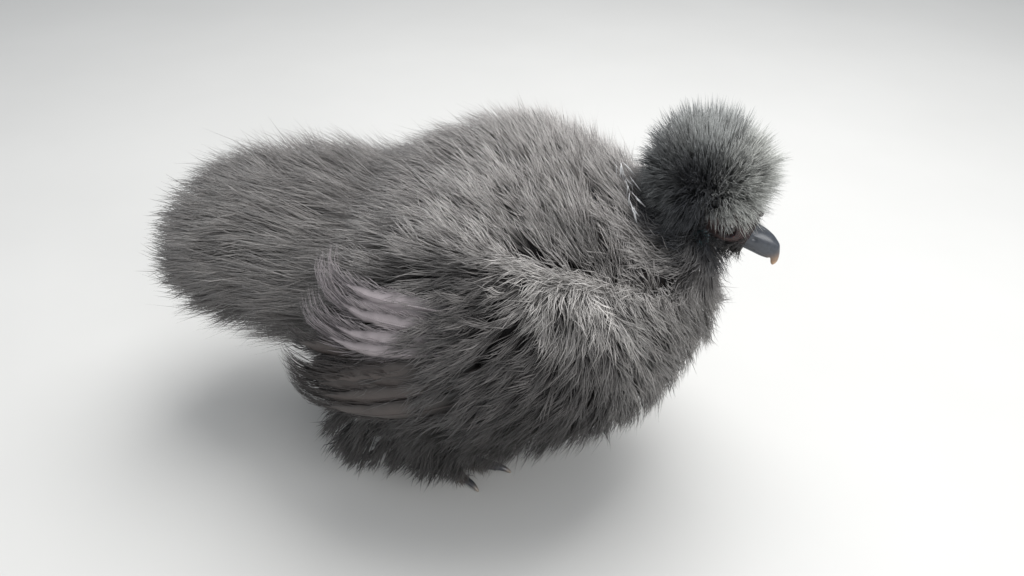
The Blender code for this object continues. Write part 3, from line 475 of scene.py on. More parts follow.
def lie_of(places, out, weights):
    """The way the plumes run at each place."""
    x = places[:, 0:1]
    side = np.sign(places[:, 1:2])
    share = {name: weights[:, i : i + 1] for i, name in enumerate(NAMES)}
    whorl = np.array(WHORL) * np.concatenate([np.ones_like(side), side, np.ones_like(side)], axis=1)
    from_whorl = unit(places - whorl)
    outward = np.concatenate([np.zeros_like(x), side, np.zeros_like(x)], axis=1)
    front = eased(x, 0.080, 0.135)
    below = eased(-out[:, 2:3], 0.0, 0.7)
    back = np.array((-1.0, 0, -0.30))
    fall = np.concatenate([0.20 - 1.2 * below, 0 * x, -np.ones_like(x)], axis=1)
    body = back * (1 - front) + fall * front
    way = share["hump"] * np.array((-0.80, 0, 0.60)) + share["rump"] * np.array((-1.0, 0, 0.05))
    way = way + share["shoulder"] * (from_whorl + np.array((-0.1, 0, -0.55)))
    way = way + (share["flank"] + share["breast"]) * (body + 0.35 * from_whorl)
    way = way + share["belly"] * (np.array((-0.75, 0, -0.30)) + 0.15 * outward)
    way = way + share["tail"] * (unit(places - np.array(TAIL_FOCUS)) * 0.75 + np.array((-0.45, 0, 0)))
    axis = unit(np.array(NECK_FOOT) - np.array(NECK_TOP))
    way = way + share["neck"] * (axis + np.array((-0.25, 0, -0.1)))
    way = way + share["thigh"] * np.array((-0.45, 0, -1.0))
    return laid_flat(way, out)


def region_values(weights, column):
    return weights @ np.array([REGIONS[name][column] for name in NAMES], float)


def region_colours(weights, column):
    return weights @ np.array([linear(REGIONS[name][column]) for name in NAMES])


def from_line(places, line):
    """How far places lie from a line through points, taken alike on both sides of the bird."""
    spots = np.stack([places[:, 0], np.abs(places[:, 1]), places[:, 2]], axis=1)
    line = np.array(line)
    nearest = np.full(len(spots), 1.0)
    for a, b in zip(line, line[1:]):
        t = np.clip((spots - a) @ (b - a) / ((b - a) @ (b - a)), 0, 1)[:, None]
        nearest = np.minimum(nearest, np.linalg.norm(spots - a - t * (b - a), axis=1))
    return nearest


def marked(places, root, tip):
    """A plume's colours at root and tip, changed at its place by the markings and by painted shade and light.
    """
    nape = 1 - eased(np.linalg.norm((places - NAPE_CENTRE) / NAPE_RADII, axis=1), 0.84, 1.12)[:, None]
    root = root * (1 - nape) + linear(NAPE_TONES[0]) * nape
    tip = tip * (1 - nape) + linear(NAPE_TONES[1]) * nape
    # Painted shade in the crease of the fold above each shoulder.
    fold = 0.62 * np.exp(-((from_line(places, SHOULDER_FOLD) / 0.006) ** 2))
    # Painted shade in the gap between the tail and the wing.
    gap = 0.88 * np.exp(-((from_line(places, WING_GAP) / 0.011) ** 2))
    # Painted light and shade: colours darker low on the body and lighter on top, as the light falls from
    # above.
    painted_light_from_above = 0.42 + 0.66 * eased(places[:, 2], 0.045, 0.175)
    shade = ((1 - fold) * (1 - gap) * painted_light_from_above)[:, None]
    return root * shade, tip * shade


# Loose barbs

# A barb's width at even steps from root to tip, for long curved barbs and for the rest, and how flat it is.
LONG_TAPER = (0.55, 1.0, 0.92, 0.62, 0.0)
TAPER = (0.62, 1.0, 0.74, 0.0)
BARB_FLAT = 0.45
# How wide a barb's patch is on the map, and how far barbs stay off the floor.
PATCH = 0.003
FLOOR_CLEAR = 0.0006


class Barbs:
    """Barbs gathered for one coat piece, each a thin closed blade that tapers to a point."""

    def __init__(self, taper=TAPER):
        self.taper = taper
        self.rings, self.tips, self.colours, self.places = [], [], [], []

    def add(self, guide, out, of, start, end, spread, rise, thick, wave, rng, root_tone, tip_tone, place):
        """Barbs that leave a plume's shaft at a share of its length and end at another, out to one side."""
        last = guide.shape[1] - 1
        shares = np.linspace(0, 1, len(self.taper))
        count = len(of)
        turn_a, turn_b = rng.uniform(0, math.tau, (2, count))
        speed = rng.uniform(0.5, 1.3, count) * math.tau
        middles = []
        sides = []
        ups = []
        for q in shares:
            at = np.clip(start + (end - start) * q, 0, 0.9999) * last
            i = at.astype(int)
            f = (at - i)[:, None]
            a, b = guide[of, i], guide[of, i + 1]
            up = unit(out[of, i] * (1 - f) + out[of, i + 1] * f)
            across = unit(np.cross(up, b - a))
            aside = spread * (1 - (1 - q) ** 1.7) + wave * np.sin(speed * q + turn_a) * q
            lift = rise * q**1.4 + 0.7 * wave * np.sin(speed * q + turn_b) * q
            middles.append(a * (1 - f) + b * f + across * aside[:, None] + up * lift[:, None])
            sides.append(across)
            ups.append(up)
        middles = np.stack(middles, axis=1)
        along = unit(np.gradient(middles, axis=1))
        ups = np.stack(ups, axis=1)
        sides = unit(np.cross(ups, along))
        ups = np.cross(along, sides)
        half = (thick / 2)[:, None] * np.array(self.taper)[None, :]
        corners = ((-1.0, -0.5), (1.0, -0.5), (0.0, 1.0))
        rings = np.stack(
            [middles + half[..., None] * (c[0] * sides + c[1] * BARB_FLAT * ups) for c in corners], axis=2
        )[:, :-1]
        tips = middles[:, -1]
        height = rings[..., 2]
        rings[..., 2] = np.maximum(height, FLOOR_CLEAR + (height - height.mean(axis=2, keepdims=True)))
        tips[:, 2] = np.maximum(tips[:, 2], FLOOR_CLEAR)
        fade = shares**1.1
        tones = root_tone[:, None] * (1 - fade)[None, :, None] + tip_tone[:, None] * fade[None, :, None]
        self.rings.append(rings)
        self.tips.append(tips)
        self.colours.append(tones)
        self.places.append(place)

    def made(self, name):
        """The gathered barbs as one mesh, with each barb's patch on the map at its root's place."""
        rings = np.concatenate(self.rings)
        tips = np.concatenate(self.tips)
        tones = np.concatenate(self.colours)
        places = np.concatenate(self.places)
        count, levels = rings.shape[:2]
        each = levels * 3 + 1
        points = np.concatenate([rings.reshape(count, -1, 3), tips[:, None]], axis=1).reshape(-1, 3)
        quads, ends = [], []
        for i in range(levels - 1):
            for k in range(3):
                m = (k + 1) % 3
                quads.append((i * 3 + k, i * 3 + m, i * 3 + 3 + m, i * 3 + 3 + k))
        base = (levels - 1) * 3
        for k in range(3):
            ends.append((base + k, base + (k + 1) % 3, base + 3))
        ends.append((2, 1, 0))
        first = np.arange(count)[:, None] * each
        quad_loops = (first[:, :, None] + np.array(quads)[None]).reshape(-1)
        end_loops = (first[:, :, None] + np.array(ends)[None]).reshape(-1)
        loops = np.concatenate([quad_loops, end_loops]).astype(np.int32)
        quad_count, end_count = count * len(quads), count * len(ends)
        starts = [np.arange(quad_count) * 4, quad_count * 4 + np.arange(end_count) * 3]
        mesh = bpy.data.meshes.new(name)
        mesh.vertices.add(len(points))
        mesh.loops.add(len(loops))
        mesh.polygons.add(quad_count + end_count)
        mesh.vertices.foreach_set("co", at_home(points).astype(np.float32).ravel())
        mesh.loops.foreach_set("vertex_index", loops)
        mesh.polygons.foreach_set("loop_start", np.concatenate(starts).astype(np.int32))
        mesh.update(calc_edges=True)
        mesh.shade_smooth()
        made = bpy.data.objects.new(name, mesh)
        bpy.context.scene.collection.objects.link(made)
        level = np.concatenate([np.repeat(np.arange(levels), 3), [levels]])
        give_colours(made, tones[:, level].reshape(-1, 3))
        share = level / levels
        patch_v = share[None, :] * PATCH
        quad_u = np.array([(k, k + 1, k + 1, k) for _ in range(levels - 1) for k in range(3)]) / 3 * PATCH
        end_u = np.array([(k, k + 1, k + 0.5) for k in range(3)] + [(2, 1, 0)]) / 3 * PATCH
        flat = np.zeros((len(loops), 2), np.float32)
        u = np.concatenate([(places[:, 0:1, None] + run[None]).reshape(-1) for run in (quad_u, end_u)])
        rows = np.broadcast_to(patch_v, (count, each)).reshape(-1)
        owner = loops // each
        flat[:, 0] = u
        flat[:, 1] = places[owner, 1] + rows[loops]
        layer = mesh.uv_layers.new(name="OFBake")
        layer.data.foreach_set("uv", flat.ravel())
        return made


def body_map(places):
    """Where body places fall on the skin unrolled round the spine, from 0.02 to 0.98."""
    turn = np.arctan2(places[:, 1], places[:, 2] - 0.105) / math.tau + 0.5
    run = (places[:, 0] + 0.20) / 0.42
    return np.clip(np.stack([turn, run], axis=1), 0.0, 1.0) * 0.95 + 0.02


def head_map(places):
    """Where head places fall on the skin unrolled round the head's own long axis."""
    own = in_head(places)
    turn = np.arctan2(own[:, 1], own[:, 2]) / math.tau + 0.5
    run = (own[:, 0] + 0.030) / 0.065
    return np.clip(np.stack([turn, run], axis=1), 0.0, 1.0) * 0.95 + 0.02


# Plumes over the body

# Wisps that one plume's barbs gather into, and steps along its shaft.
WISPS = 5
SHAFT_STEPS = 7

def laid_plumes(ends, surface, skin, steps, rng):
    """For each tip on the plumage's surface, the plume that ends there: shaft, normals, weights and place."""
    points, out = surface.under(ends)
    weights = region_weights(points)
    reach = region_values(weights, REACH) * rng.uniform(0.78, 1.18, len(points))
    even = region_values(weights, LATE)
    turn = rng.normal(0, 0.20, len(points))[:, None]
    trail, normals = [points], [out]
    place, normal = points, out
    for _ in range(steps):
        way = lie_of(place, normal, region_weights(place))
        way = way * np.cos(turn) + np.cross(normal, way) * np.sin(turn)
        place, normal = surface.under(place - way * (reach / steps)[:, None])
        trail.append(place)
        normals.append(normal)
    trail = np.stack(trail[::-1], axis=1)
    normals = np.stack(normals[::-1], axis=1)
    root, _ = skin.under(trail[:, 0] - normals[:, 0] * 0.02)
    root = root - normals[:, 0] * 0.001
    drop = root - trail[:, 0]
    share = np.linspace(0, 1, steps + 1)[None, :, None]
    sunk = rng.random(len(points)) ** 2 * 0.010
    guide = trail + drop[:, None] * (1 - share) ** even[:, None, None]
    guide = guide - normals * (share * sunk[:, None, None])
    along = unit(np.gradient(guide, axis=1))
    ups = laid_flat(normals, along)
    return guide, ups, weights, points


def fill(barbs, guide, ups, weights, tips, rng, thin=1.0):
    """Sets the barbs of plumes whose shafts are given: a fan of fine ones, in part gathered into wisps."""
    count = len(guide)
    each = np.maximum(5, np.round(region_values(weights, BARBS))).astype(int)
    of = np.repeat(np.arange(count), each)
    total = len(of)
    first = np.concatenate([[True], of[1:] != of[:-1]])
    wisp = rng.integers(0, WISPS, total)
    middle = (np.arange(WISPS) + 0.5) / WISPS * 2 - 1 + rng.normal(0, 0.16, (count, WISPS))
    length = rng.uniform(0.78, 1.0, (count, WISPS))
    height = rng.normal(0, 1, (count, WISPS))
    gather = region_values(weights, WISPY)[of]
    width = region_values(weights, WIDTH)[of] * rng.uniform(0.85, 1.2, count)[of]
    start = rng.random(total) ** 1.5 * 0.55
    end = (gather * length[of, wisp] + (1 - gather)) * (start + (1 - start) * rng.uniform(0.74, 1.0, total))
    end = np.maximum(end, start + 0.3)
    even = rng.uniform(-1, 1, total)
    aside = gather * (0.78 * middle[of, wisp] + 0.22 * even) + (1 - gather) * even
    stray = rng.random(total) < 0.06
    aside = np.where(stray, aside * 1.6, aside)
    spread = aside * width / 2 * (1.05 - (0.15 + 0.35 * gather) * end**2)
    stand = region_values(weights, STAND)[of]
    lift = gather * 0.55 * height[of, wisp] + (0.75 - 0.45 * gather) * rng.normal(0, 1, total)
    rise = stand * (0.30 + lift) * np.where(stray, 1.8, 1.0)
    thick = region_values(weights, THICK)[of] * rng.uniform(0.75, 1.25, total) * thin
    wave = region_values(weights, WAVE)[of] * rng.uniform(0.4, 1.6, total)
    start, end = np.where(first, 0.0, start), np.where(first, 1.0, end)
    spread = np.where(first, 0.0, spread)
    root_tone, tip_tone = marked(tips, region_colours(weights, ROOT_TONE), region_colours(weights, TIP_TONE))
    unlike = region_values(weights, UNLIKE)
    plume_shade = np.exp(rng.normal(0, 1, count) * unlike)[of, None]
    silver = np.where(first | (rng.random(total) < 0.10), 1.0 + 2.2 * unlike[of], 1.0)
    barb_shade = (rng.lognormal(0, 0.11, total) * silver)[:, None]
    barbs.add(guide, ups, of, start, np.minimum(end, 1.0), spread, rise, thick, wave, rng,
              root_tone[of] * plume_shade, tip_tone[of] * plume_shade * barb_shade, body_map(guide[of, 0]))


def outline_surface():
    """The smooth surface that the body's plumes reach to, used as a guide and not kept."""
    shells = [form.shell(48, 32) for form in (torso_form, tail_form, neck_form, *thigh_forms)]
    return remeshed("plume_guide", shells, *OUTLINE_GRAIN)


PIECE_TRIANGLES = 190000
BARB_TRIANGLES = 6 * len(TAPER) - 8


def body_plumage(skin):
    """All the body's plumes, gathered into pieces by region and side."""
    rng = np.random.default_rng(SEED)
    guide_object = outline_surface()
    surface = Surface(guide_object)
    areas = vertex_areas(guide_object)
    weights = region_weights(surface.points)
    wanted = areas * 1e4 * region_values(weights, DENSITY) * (1.0 if FULL else 0.45)
    wanted = wanted * (1 - 0.88 * quill_bed(surface.points)) * (1 - 0.93 * in_gap(surface.points))
    keep = rng.random(len(wanted)) < wanted
    keep &= ~near_face(surface.points)
    ends = surface.points[keep] + rng.normal(0, 0.0018, (keep.sum(), 3))
    guide, ups, weights, tips = laid_plumes(ends, surface, skin, SHAFT_STEPS, rng)
    bpy.data.objects.remove(guide_object)
    thin = 1.0 if FULL else 1.5
    strongest = weights.argmax(axis=1)
    side = np.where(tips[:, 1] < 0, 0, 1)
    pieces = []
    for index, name in enumerate(NAMES):
        for s, (side_name, _) in enumerate(SIDES):
            chosen = np.flatnonzero((strongest == index) & (side == s))
            if len(chosen) == 0:
                continue
            triangles = len(chosen) * REGIONS[name][BARBS] * 1.1 * BARB_TRIANGLES
            limit = max(1, math.ceil(triangles / PIECE_TRIANGLES))
            for part, group in enumerate(np.array_split(chosen, limit)):
                barbs = Barbs()
                fill(barbs, guide[group], ups[group], weights[group], tips[group], rng, thin)
                label = f"{name}_plumes_{side_name}" + (f"_{part + 1}" if limit > 1 else "")
                pieces.append((name, side_name, barbs.made(label)))
    return pieces


def quill_bed(places):
    """How far a place on the side is left open for the wing's quills to show."""
    x, away, z = places[:, 0], np.abs(places[:, 1]), places[:, 2]
    open_bed = np.zeros(len(places))
    for centre_x, centre_z, long, high in QUILL_BEDS:
        r = np.hypot((x - centre_x) / long, (z - centre_z) / high)
        open_bed = np.maximum(open_bed, 1 - eased(r, 0.75, 1.15))
    return open_bed * eased(away, 0.055, 0.070)


def in_gap(places):
    """How far a place lies in the dark gap between the tail and the wing."""
    return 1 - eased(from_line(places, WING_GAP), 0.005, 0.011)


def vertex_areas(obj):
    """The area that goes with each point of a mesh."""
    total = np.zeros(len(obj.data.vertices))
    for face in obj.data.polygons:
        total[list(face.vertices)] += face.area / len(face.vertices)
    return total


def near_face(places):
    """Whether plume tips there would hide the beak, the eyes or the bare face."""
    own = in_head(places)
    return (own[:, 0] > -0.0065) & (own[:, 2] > -0.022) & (np.abs(own[:, 1]) < 0.024)


# Crest

CREST_PLUMES, CREST_PLUMES_QUICK = 600, 260
CREST_BARBS = 18


def crest_plumes():
    """The round crest: plumes that rise from the crown and fall outwards all round, longest over the brow."""
    rng = np.random.default_rng(SEED + 1)
    count = CREST_PLUMES if FULL else CREST_PLUMES_QUICK
    index = np.arange(count) + 0.5
    height = np.arcsin(1 - 1.64 * index / count)
    bearing = index * math.pi * (3 - math.sqrt(5)) + rng.normal(0, 0.10, count)
    level = np.stack([np.cos(bearing), np.sin(bearing), np.zeros(count)], axis=1)
    way = level * np.cos(height)[:, None] + np.array((0, 0, 1)) * np.sin(height)[:, None]
    swell = 1 + 0.035 * np.sin(3 * bearing + 0.8) * np.cos(height) + 0.03 * np.sin(5 * height + 2 * bearing)
    reach = (rng.uniform(0.84, 1.03, count) * swell)[:, None]
    tip = np.array(CREST_CENTRE) + way * np.array(CREST_RADII) * reach
    own = in_head(tip)
    brow = (own[:, 0] > 0.019) & (np.abs(own[:, 1]) < 0.014) & (own[:, 2] > 0.0005)
    keep = ~((own[:, 0] > -0.004) & (own[:, 2] < 0.0070) & (own[:, 0] < 0.036)) | brow
    keep &= ~((own[:, 0] > -0.010) & (own[:, 2] < 0.0))
    level, way, tip, height = level[keep], way[keep], tip[keep], height[keep]
    count = len(tip)
    crown = in_crown(way, rng)
    span = np.linalg.norm(tip - crown, axis=1, keepdims=True)
    arch = (level * 0.10 + np.array((0, 0, 1))) * span * 0.36 * np.cos(height)[:, None]
    middle = crown * 0.55 + tip * 0.45 + arch
    t = np.linspace(0, 1, 9)[None, :, None]
    guide = crown[:, None] * (1 - t) ** 2 + middle[:, None] * 2 * t * (1 - t) + tip[:, None] * t * t
    along = unit(np.gradient(guide, axis=1))
    across = np.cross(level, (0, 0, 1))[:, None]
    ups = unit(np.cross(across, along))
    # Painted light: tips lighter where they face the front and top and darker at the back and sides, and
    # front roots lighter too.
    front = eased(way[:, 0] - 0.25 * way[:, 1], 0.20, 0.80)
    top = eased(way[:, 2], 0.45, 0.95) * (1 - front)
    back = eased(-way[:, 0], 0.20, 0.80) * (1 - front) * (1 - top)
    shares = {"front": front, "top": top, "back": back, "side": 1 - front - top - back}
    tip_tone = sum(linear(CREST_TONES[name]) * share[:, None] for name, share in shares.items())
    tip_tone = tip_tone * rng.lognormal(0, 0.10, count)[:, None]
    pale = front[:, None]
    root_tone = linear(CREST_TONES["root"]) * (1 - 0.5 * pale) + tip_tone * 0.35 * pale
    of = np.repeat(np.arange(count), CREST_BARBS)
    total = len(of)
    wisp = rng.integers(0, 4, total)
    middles = np.linspace(-0.7, 0.7, 4) + rng.normal(0, 0.20, (count, 4))
    even = rng.uniform(-1, 1, total)
    aside = 0.45 * middles[of, wisp] + 0.55 * even
    start = rng.random(total) ** 1.2 * 0.55
    end = np.maximum(rng.uniform(0.80, 1.0, total), start + 0.3)
    rise = rng.normal(0.0003, 0.0022, total)
    thick = rng.uniform(0.00036, 0.00062, total) * (1.0 if FULL else 1.5)
    wave = rng.uniform(0.0003, 0.0012, total)
    barbs = Barbs()
    barbs.add(guide, ups, of, start, end, aside * 0.0066, rise, thick, wave, rng, root_tone[of],
              tip_tone[of] * rng.lognormal(0, 0.12, total)[:, None], head_map(guide[of, 0]))
    return barbs.made("crest_plumes")


def pin_feathers(surface):
    """New plumes on the nape, still in their white sheaths."""
    rng = np.random.default_rng(SEED + 6)
    spots = np.repeat(np.array(PIN_SPOTS), 5 if FULL else 3, axis=0)
    spots = spots + rng.normal(0, 0.0016, spots.shape)
    tips, out = surface.under(spots)
    tips = tips + out * rng.uniform(0.0035, 0.0065, len(tips))[:, None]
    way = unit(np.array((-0.5, 0.1, 0.25)) + 0.5 * out + rng.normal(0, 0.25, tips.shape))
    length = rng.uniform(0.006, 0.011, len(tips))[:, None, None]
    t = np.linspace(0, 1, 5)[None, :, None]
    guide = tips[:, None] - way[:, None] * length * (1 - t)
    ups = np.repeat(out[:, None], 5, axis=1)
    white = linear("#d9dadb") * rng.lognormal(0, 0.06, len(tips))[:, None]
    zero = np.zeros(len(tips))
    barbs = Barbs()
    thick = rng.uniform(0.0008, 0.0013, len(tips))
    barbs.add(guide, ups, np.arange(len(tips)), zero, zero + 1, zero, zero, thick, zero + 0.0002, rng,
              white * 0.5, white, body_map(guide[:, 0]))
    return barbs.made("pin_feathers")


def in_crown(way, rng):
    """Roots on the crown of the head, a little towards the side that each plume falls to."""
    return np.array(CREST_ROOT) + way * np.array((0.013, 0.011, 0.004)) + rng.normal(0, 0.0012, way.shape)


# Wings

# Half a vane's width along its blade, as a share of its widest.
QUILL_SHAPE = (
    (0.00, 0.45), (0.15, 0.75), (0.40, 1.00), (0.65, 0.90), (0.82, 0.55), (0.94, 0.18), (1.00, 0.03),
)
# Each tier of quills: count, root of the lowest, root of the highest, rise in degrees of the lowest and the
# highest, length of the blade, width, depth of the roots, how far the loose ends curl up, how far the ends
# stand away from the body, and the two colours.
QUILL_TIERS = (
    (7, (0.068, 0.108), (0.056, 0.146), -17, -14, 0.094, 0.0160, 0.016, 0.22, 0.013, "#1a1716", "#463e3b"),
    (5, (0.052, 0.138), (0.048, 0.168), -3, 3, 0.066, 0.0105, 0.014, 1.00, 0.005, "#353133", "#a39a9c"),
)
# Where the quills show through the plumage: x, height, half length and half height of each bed.
QUILL_BEDS = ((-0.006, 0.1030, 0.032, 0.0110), (0.000, 0.1480, 0.022, 0.0100))
QUILL_STEPS = 20
BLADE_SHARE = 0.72


def quill_paths(surface, side, rng):
    """One folded wing's quills: paths that run on past the blade, their normals, widths and tiers."""
    guides, ups, widths, tiers = [], [], [], []
    for tier, row in enumerate(QUILL_TIERS):
        count, low, high, low_rise, high_rise, length, width, deep, curl, away = row[:-2]
        share = np.linspace(0, 1, count)
        root = np.stack([np.interp(share, (0, 1), (low[0], high[0])), np.full(count, side * 0.12),
                         np.interp(share, (0, 1), (low[1], high[1]))], axis=1)
        rise = np.radians(low_rise + (high_rise - low_rise) * share) + rng.normal(0, 0.03, count)
        reach = length / BLADE_SHARE * rng.uniform(0.86, 1.08, count)
        bend = curl * rng.uniform(0.7, 1.2, count)
        place, normal = surface.under(root)
        trail, normals = [place], [normal]
        for k in range(QUILL_STEPS):
            turn = rise + bend * max(0.0, ((k + 1) / QUILL_STEPS - 0.45) / 0.55) ** 1.6
            way = np.stack([-np.cos(turn), np.zeros(count), np.sin(turn)], axis=1)
            way = laid_flat(way, normal)
            place, normal = surface.under(place + way * (reach / QUILL_STEPS)[:, None])
            trail.append(place)
            normals.append(normal)
        trail, normals = np.stack(trail, axis=1), np.stack(normals, axis=1)
        t = np.linspace(0, 1, QUILL_STEPS + 1)[None, :, None]
        sunk = deep * np.clip(1 - t / 0.62, 0, 1) ** 1.4 + 0.0012
        sunk = sunk + 0.0007 * (share[:, None, None] * count % 2)
        guides.append(trail - normals * (sunk - away * eased(t, 0.40, 1.0) ** 1.5))
        ups.append(normals @ np.array(Matrix.Rotation(-side * math.radians(15), 3, "X")).T)
        widths.append(width * rng.uniform(0.85, 1.15, count))
        tiers.append(np.full(count, tier))
    return np.concatenate(guides), np.concatenate(ups), np.concatenate(widths), np.concatenate(tiers)


def tier_tones(tier, rng):
    """A quill's own two colours: at its base and edges, and down its middle."""
    shade = rng.lognormal(0, 0.13)
    return [linear(tone) * shade for tone in QUILL_TIERS[tier][-2:]]


def quill_blades(name, guides, ups, widths, tiers, rng):
    """Each quill's vane, notched where its barbs part, and its shaft, as thin closed solids in one mesh."""
    shells, along_share, across_share, tones = [], [], [], []
    shape = np.array(QUILL_SHAPE)
    columns = np.linspace(-1, 1, 9)
    for guide, up, width, tier in zip(guides, ups, widths, tiers):
        count = round(len(guide) * BLADE_SHARE * 2)
        share = np.linspace(0, 1, count)
        at = share * BLADE_SHARE * (len(guide) - 1)
        guide = np.stack([np.interp(at, np.arange(len(guide)), guide[:, k]) for k in range(3)], axis=1)
        up = unit(np.stack([np.interp(at, np.arange(len(up)), up[:, k]) for k in range(3)], axis=1))
        half = np.interp(share, shape[:, 0], shape[:, 1]) * width / 2
        notch = rng.uniform(0, math.tau, 4)
        rough = [np.sin(share * 31 + notch[k]) * np.sin(share * 13 + notch[k + 2]) for k in (0, 1)]
        rough = np.stack(rough, axis=1)
        edge = 1 - 0.30 * np.maximum(0, rough) * eased(share, 0.2, 0.6)[:, None]
        reach = np.where(columns[None] < 0, edge[:, 0:1], edge[:, 1:2]) * columns[None]
        along = unit(np.gradient(guide, axis=0))
        across = unit(np.cross(up, along))
        top = np.cross(along, across)
        crown = 0.13 * width * (1 - columns**2)
        thick = 0.00026 + 0.0002 * (1 - np.abs(columns))
        upper = guide[:, None] + across[:, None] * (half[:, None] * reach)[..., None]
        upper = upper + top[:, None] * (crown[None, :] * (half / half.max())[:, None] + thick)[..., None]
        lower = upper - top[:, None] * (2 * thick)[None, :, None]
        points = np.concatenate([upper.reshape(-1, 3), lower.reshape(-1, 3)])
        wide = len(columns)
        flat = count * wide
        faces = []
        for i in range(count - 1):
            for k in range(wide - 1):
                a = i * wide + k
                faces.append((a, a + 1, a + wide + 1, a + wide))
                faces.append((flat + a, flat + a + wide, flat + a + wide + 1, flat + a + 1))
            for k in (0, wide - 1):
                a = i * wide + k
                rim = (a, a + wide, flat + a + wide, flat + a)
                faces.append(rim if k == 0 else rim[::-1])
        for i in (0, count - 1):
            for k in range(wide - 1):
                a = i * wide + k
                rim = (a, flat + a, flat + a + 1, a + 1)
                faces.append(rim if i == 0 else rim[::-1])
        shells.append((points, faces))
        dull, bright = tier_tones(tier, rng)
        glow = (eased(share, 0.15, 0.55)[:, None] * (1 - 0.65 * columns[None] ** 2)).reshape(-1, 1)
        tones.append(np.tile(dull * (1 - glow) + bright * glow, (2, 1)))
        along_share.append(np.tile(np.repeat(share, wide), 2))
        across_share.append(np.tile(np.tile(columns, count), 2))
        shaft = guide + top * (0.13 * width * half / half.max() + 0.0003)[:, None]
        points, faces = tube(shaft, np.interp(share, (0, 1), (0.00075, 0.00020)), 6)
        shells.append((points, faces))
        along_share.append(np.repeat(share, 6))
        across_share.append(np.full(len(points), 2.0))
        tones.append(np.repeat((bright * 0.8)[None], len(points), axis=0))
    points, faces = joined(shells)
    made = mesh_object(name, at_home(points), faces)
    give_number(made, "along", np.concatenate(along_share))
    give_number(made, "across", np.concatenate(across_share))
    give_colours(made, np.concatenate(tones))
    return made


def quill_fringe(name, guides, ups, widths, tiers, rng):
    """The loose barbs at each quill's edges, and the long ones that run on past its end and curl up."""
    barbs = Barbs(LONG_TAPER)
    each, trailing = (84, 22) if FULL else (40, 12)
    of = np.repeat(np.arange(len(guides)), each + trailing)
    total = len(of)
    runs_on = np.tile(np.arange(each + trailing) >= each, len(guides))
    start = np.where(runs_on, rng.uniform(0.34, 0.70, total), rng.uniform(0.10, 0.68, total))
    far, near = rng.uniform(0.84, 1.0, total), start + rng.uniform(0.12, 0.26, total)
    end = np.where(runs_on, far, np.minimum(near, 1.0))
    shape = np.array(QUILL_SHAPE)
    wide = widths[of] / 2 * np.interp(start / BLADE_SHARE, shape[:, 0], shape[:, 1])
    aside = rng.choice((-1.0, 1.0), total)
    within, beyond = rng.normal(0, 0.30, total) * widths[of], wide + rng.uniform(0, 0.0035, total)
    spread = np.where(runs_on, within, aside * beyond)
    rise = np.where(runs_on, rng.normal(0.0010, 0.0014, total), rng.normal(0.0008, 0.0008, total))
    thick = rng.uniform(0.00042, 0.00072, total)
    wave = rng.uniform(0.0002, 0.0012, total)
    tones = np.array([[linear(tone) for tone in row[-2:]] for row in QUILL_TIERS])[tiers[of]]
    shade = rng.lognormal(0, 0.16, total)[:, None]
    barbs.add(guides, ups, of, start, end, spread, rise, thick, wave, rng, tones[:, 0] * shade,
              (0.45 * tones[:, 0] + 0.62 * tones[:, 1]) * shade, body_map(guides[of, 0]))
    return barbs.made(name)


# Skin, head and feet

# How fine the skins are grown: the side of a cell, in metres, and the rounds of smoothing.
HEAD_GRAIN = (0.00045, 3)
FEET_GRAIN = (0.0006, 1)
BODY_GRAIN = (0.0035, 8)
OUTLINE_GRAIN = (0.004, 12)
COMB_BULBS = 26


def head_skin():
    """The bare face: lids in rings, lobes, wattles and a small walnut comb, grown from the skull's form."""
    rng = np.random.default_rng(SEED + 2)
    shells = [head_form.shell(64, 44)]
    for _, side in SIDES:
        turns = np.arange(40) * math.tau / 40
        for radius, stand, thick in ((0.0046, 0.0034, 0.00085), (0.0062, 0.0022, 0.00075)):
            across, up = radius * np.cos(turns), radius * 0.92 * np.sin(turns)
            ring = np.stack([across, np.full(40, side * stand), up], axis=1)
            ring += on_side(EYE_PLACE, side)
            shells.append(ring_tube(placed(HEAD_PLACE, ring), thick))
        shells.append(ellipsoid(on_side(LOBE_PLACE, side), LOBE_SIZE, HEAD_PLACE))
        shells.append(ellipsoid(on_side(WATTLE_PLACE, side), WATTLE_SIZE, HEAD_PLACE))
    for _ in range(COMB_BULBS):
        ahead = rng.uniform(0.011, 0.0205)
        aside = rng.uniform(-0.0052, 0.0052)
        spot = (ahead, aside, 0.0125 - 0.62 * (ahead - 0.010) + rng.uniform(-0.0012, 0.0008))
        shells.append(ellipsoid(spot, (rng.uniform(0.0012, 0.0022),) * 3, HEAD_PLACE, 12, 8))
    skin = remeshed("head_skin", shells, *HEAD_GRAIN)
    points, out = points_of(skin), normals_of(skin)
    own = in_head(points)
    away = np.zeros(len(points))
    ring, here = wrinkles(own)
    away += here * 0.00026 * ring
    along, across = own[:, 0] * 2900 + 2 * np.sin(own[:, 2] * 1700), own[:, 2] * 2500 + own[:, 1] * 2100
    away += 0.00013 * np.sin(along) * np.sin(across)
    set_points(skin, points + out * away[:, None])
    for _, side in SIDES:
        socket = ellipsoid(on_side(EYE_PLACE, side), (EYE_RADIUS + SOCKET_CLEAR,) * 3, HEAD_PLACE, 40, 28)
        united(skin, mesh_object("socket", *socket), "DIFFERENCE")
    return skin


def wrinkles(own):
    """The ring wrinkles round each eye: the wave of their ridges, and how strong they are at each place."""
    r = np.hypot(own[:, 0] - EYE_PLACE[0], (own[:, 2] - EYE_PLACE[2]) * 1.08)
    wobble = 0.6 * np.sin(own[:, 2] * 900 + 1) + 0.5 * np.sin(own[:, 0] * 1300)
    here = (np.abs(own[:, 1]) > 0.004) * eased(r, 0.0046, 0.0056) * (1 - eased(r, 0.0085, 0.0125))
    return np.sin(r / 0.00095 * math.tau + wobble), here * (own[:, 0] < 0.021)


FOOT_SPREAD = 0.036
ANKLE = (0.004, 0.010)
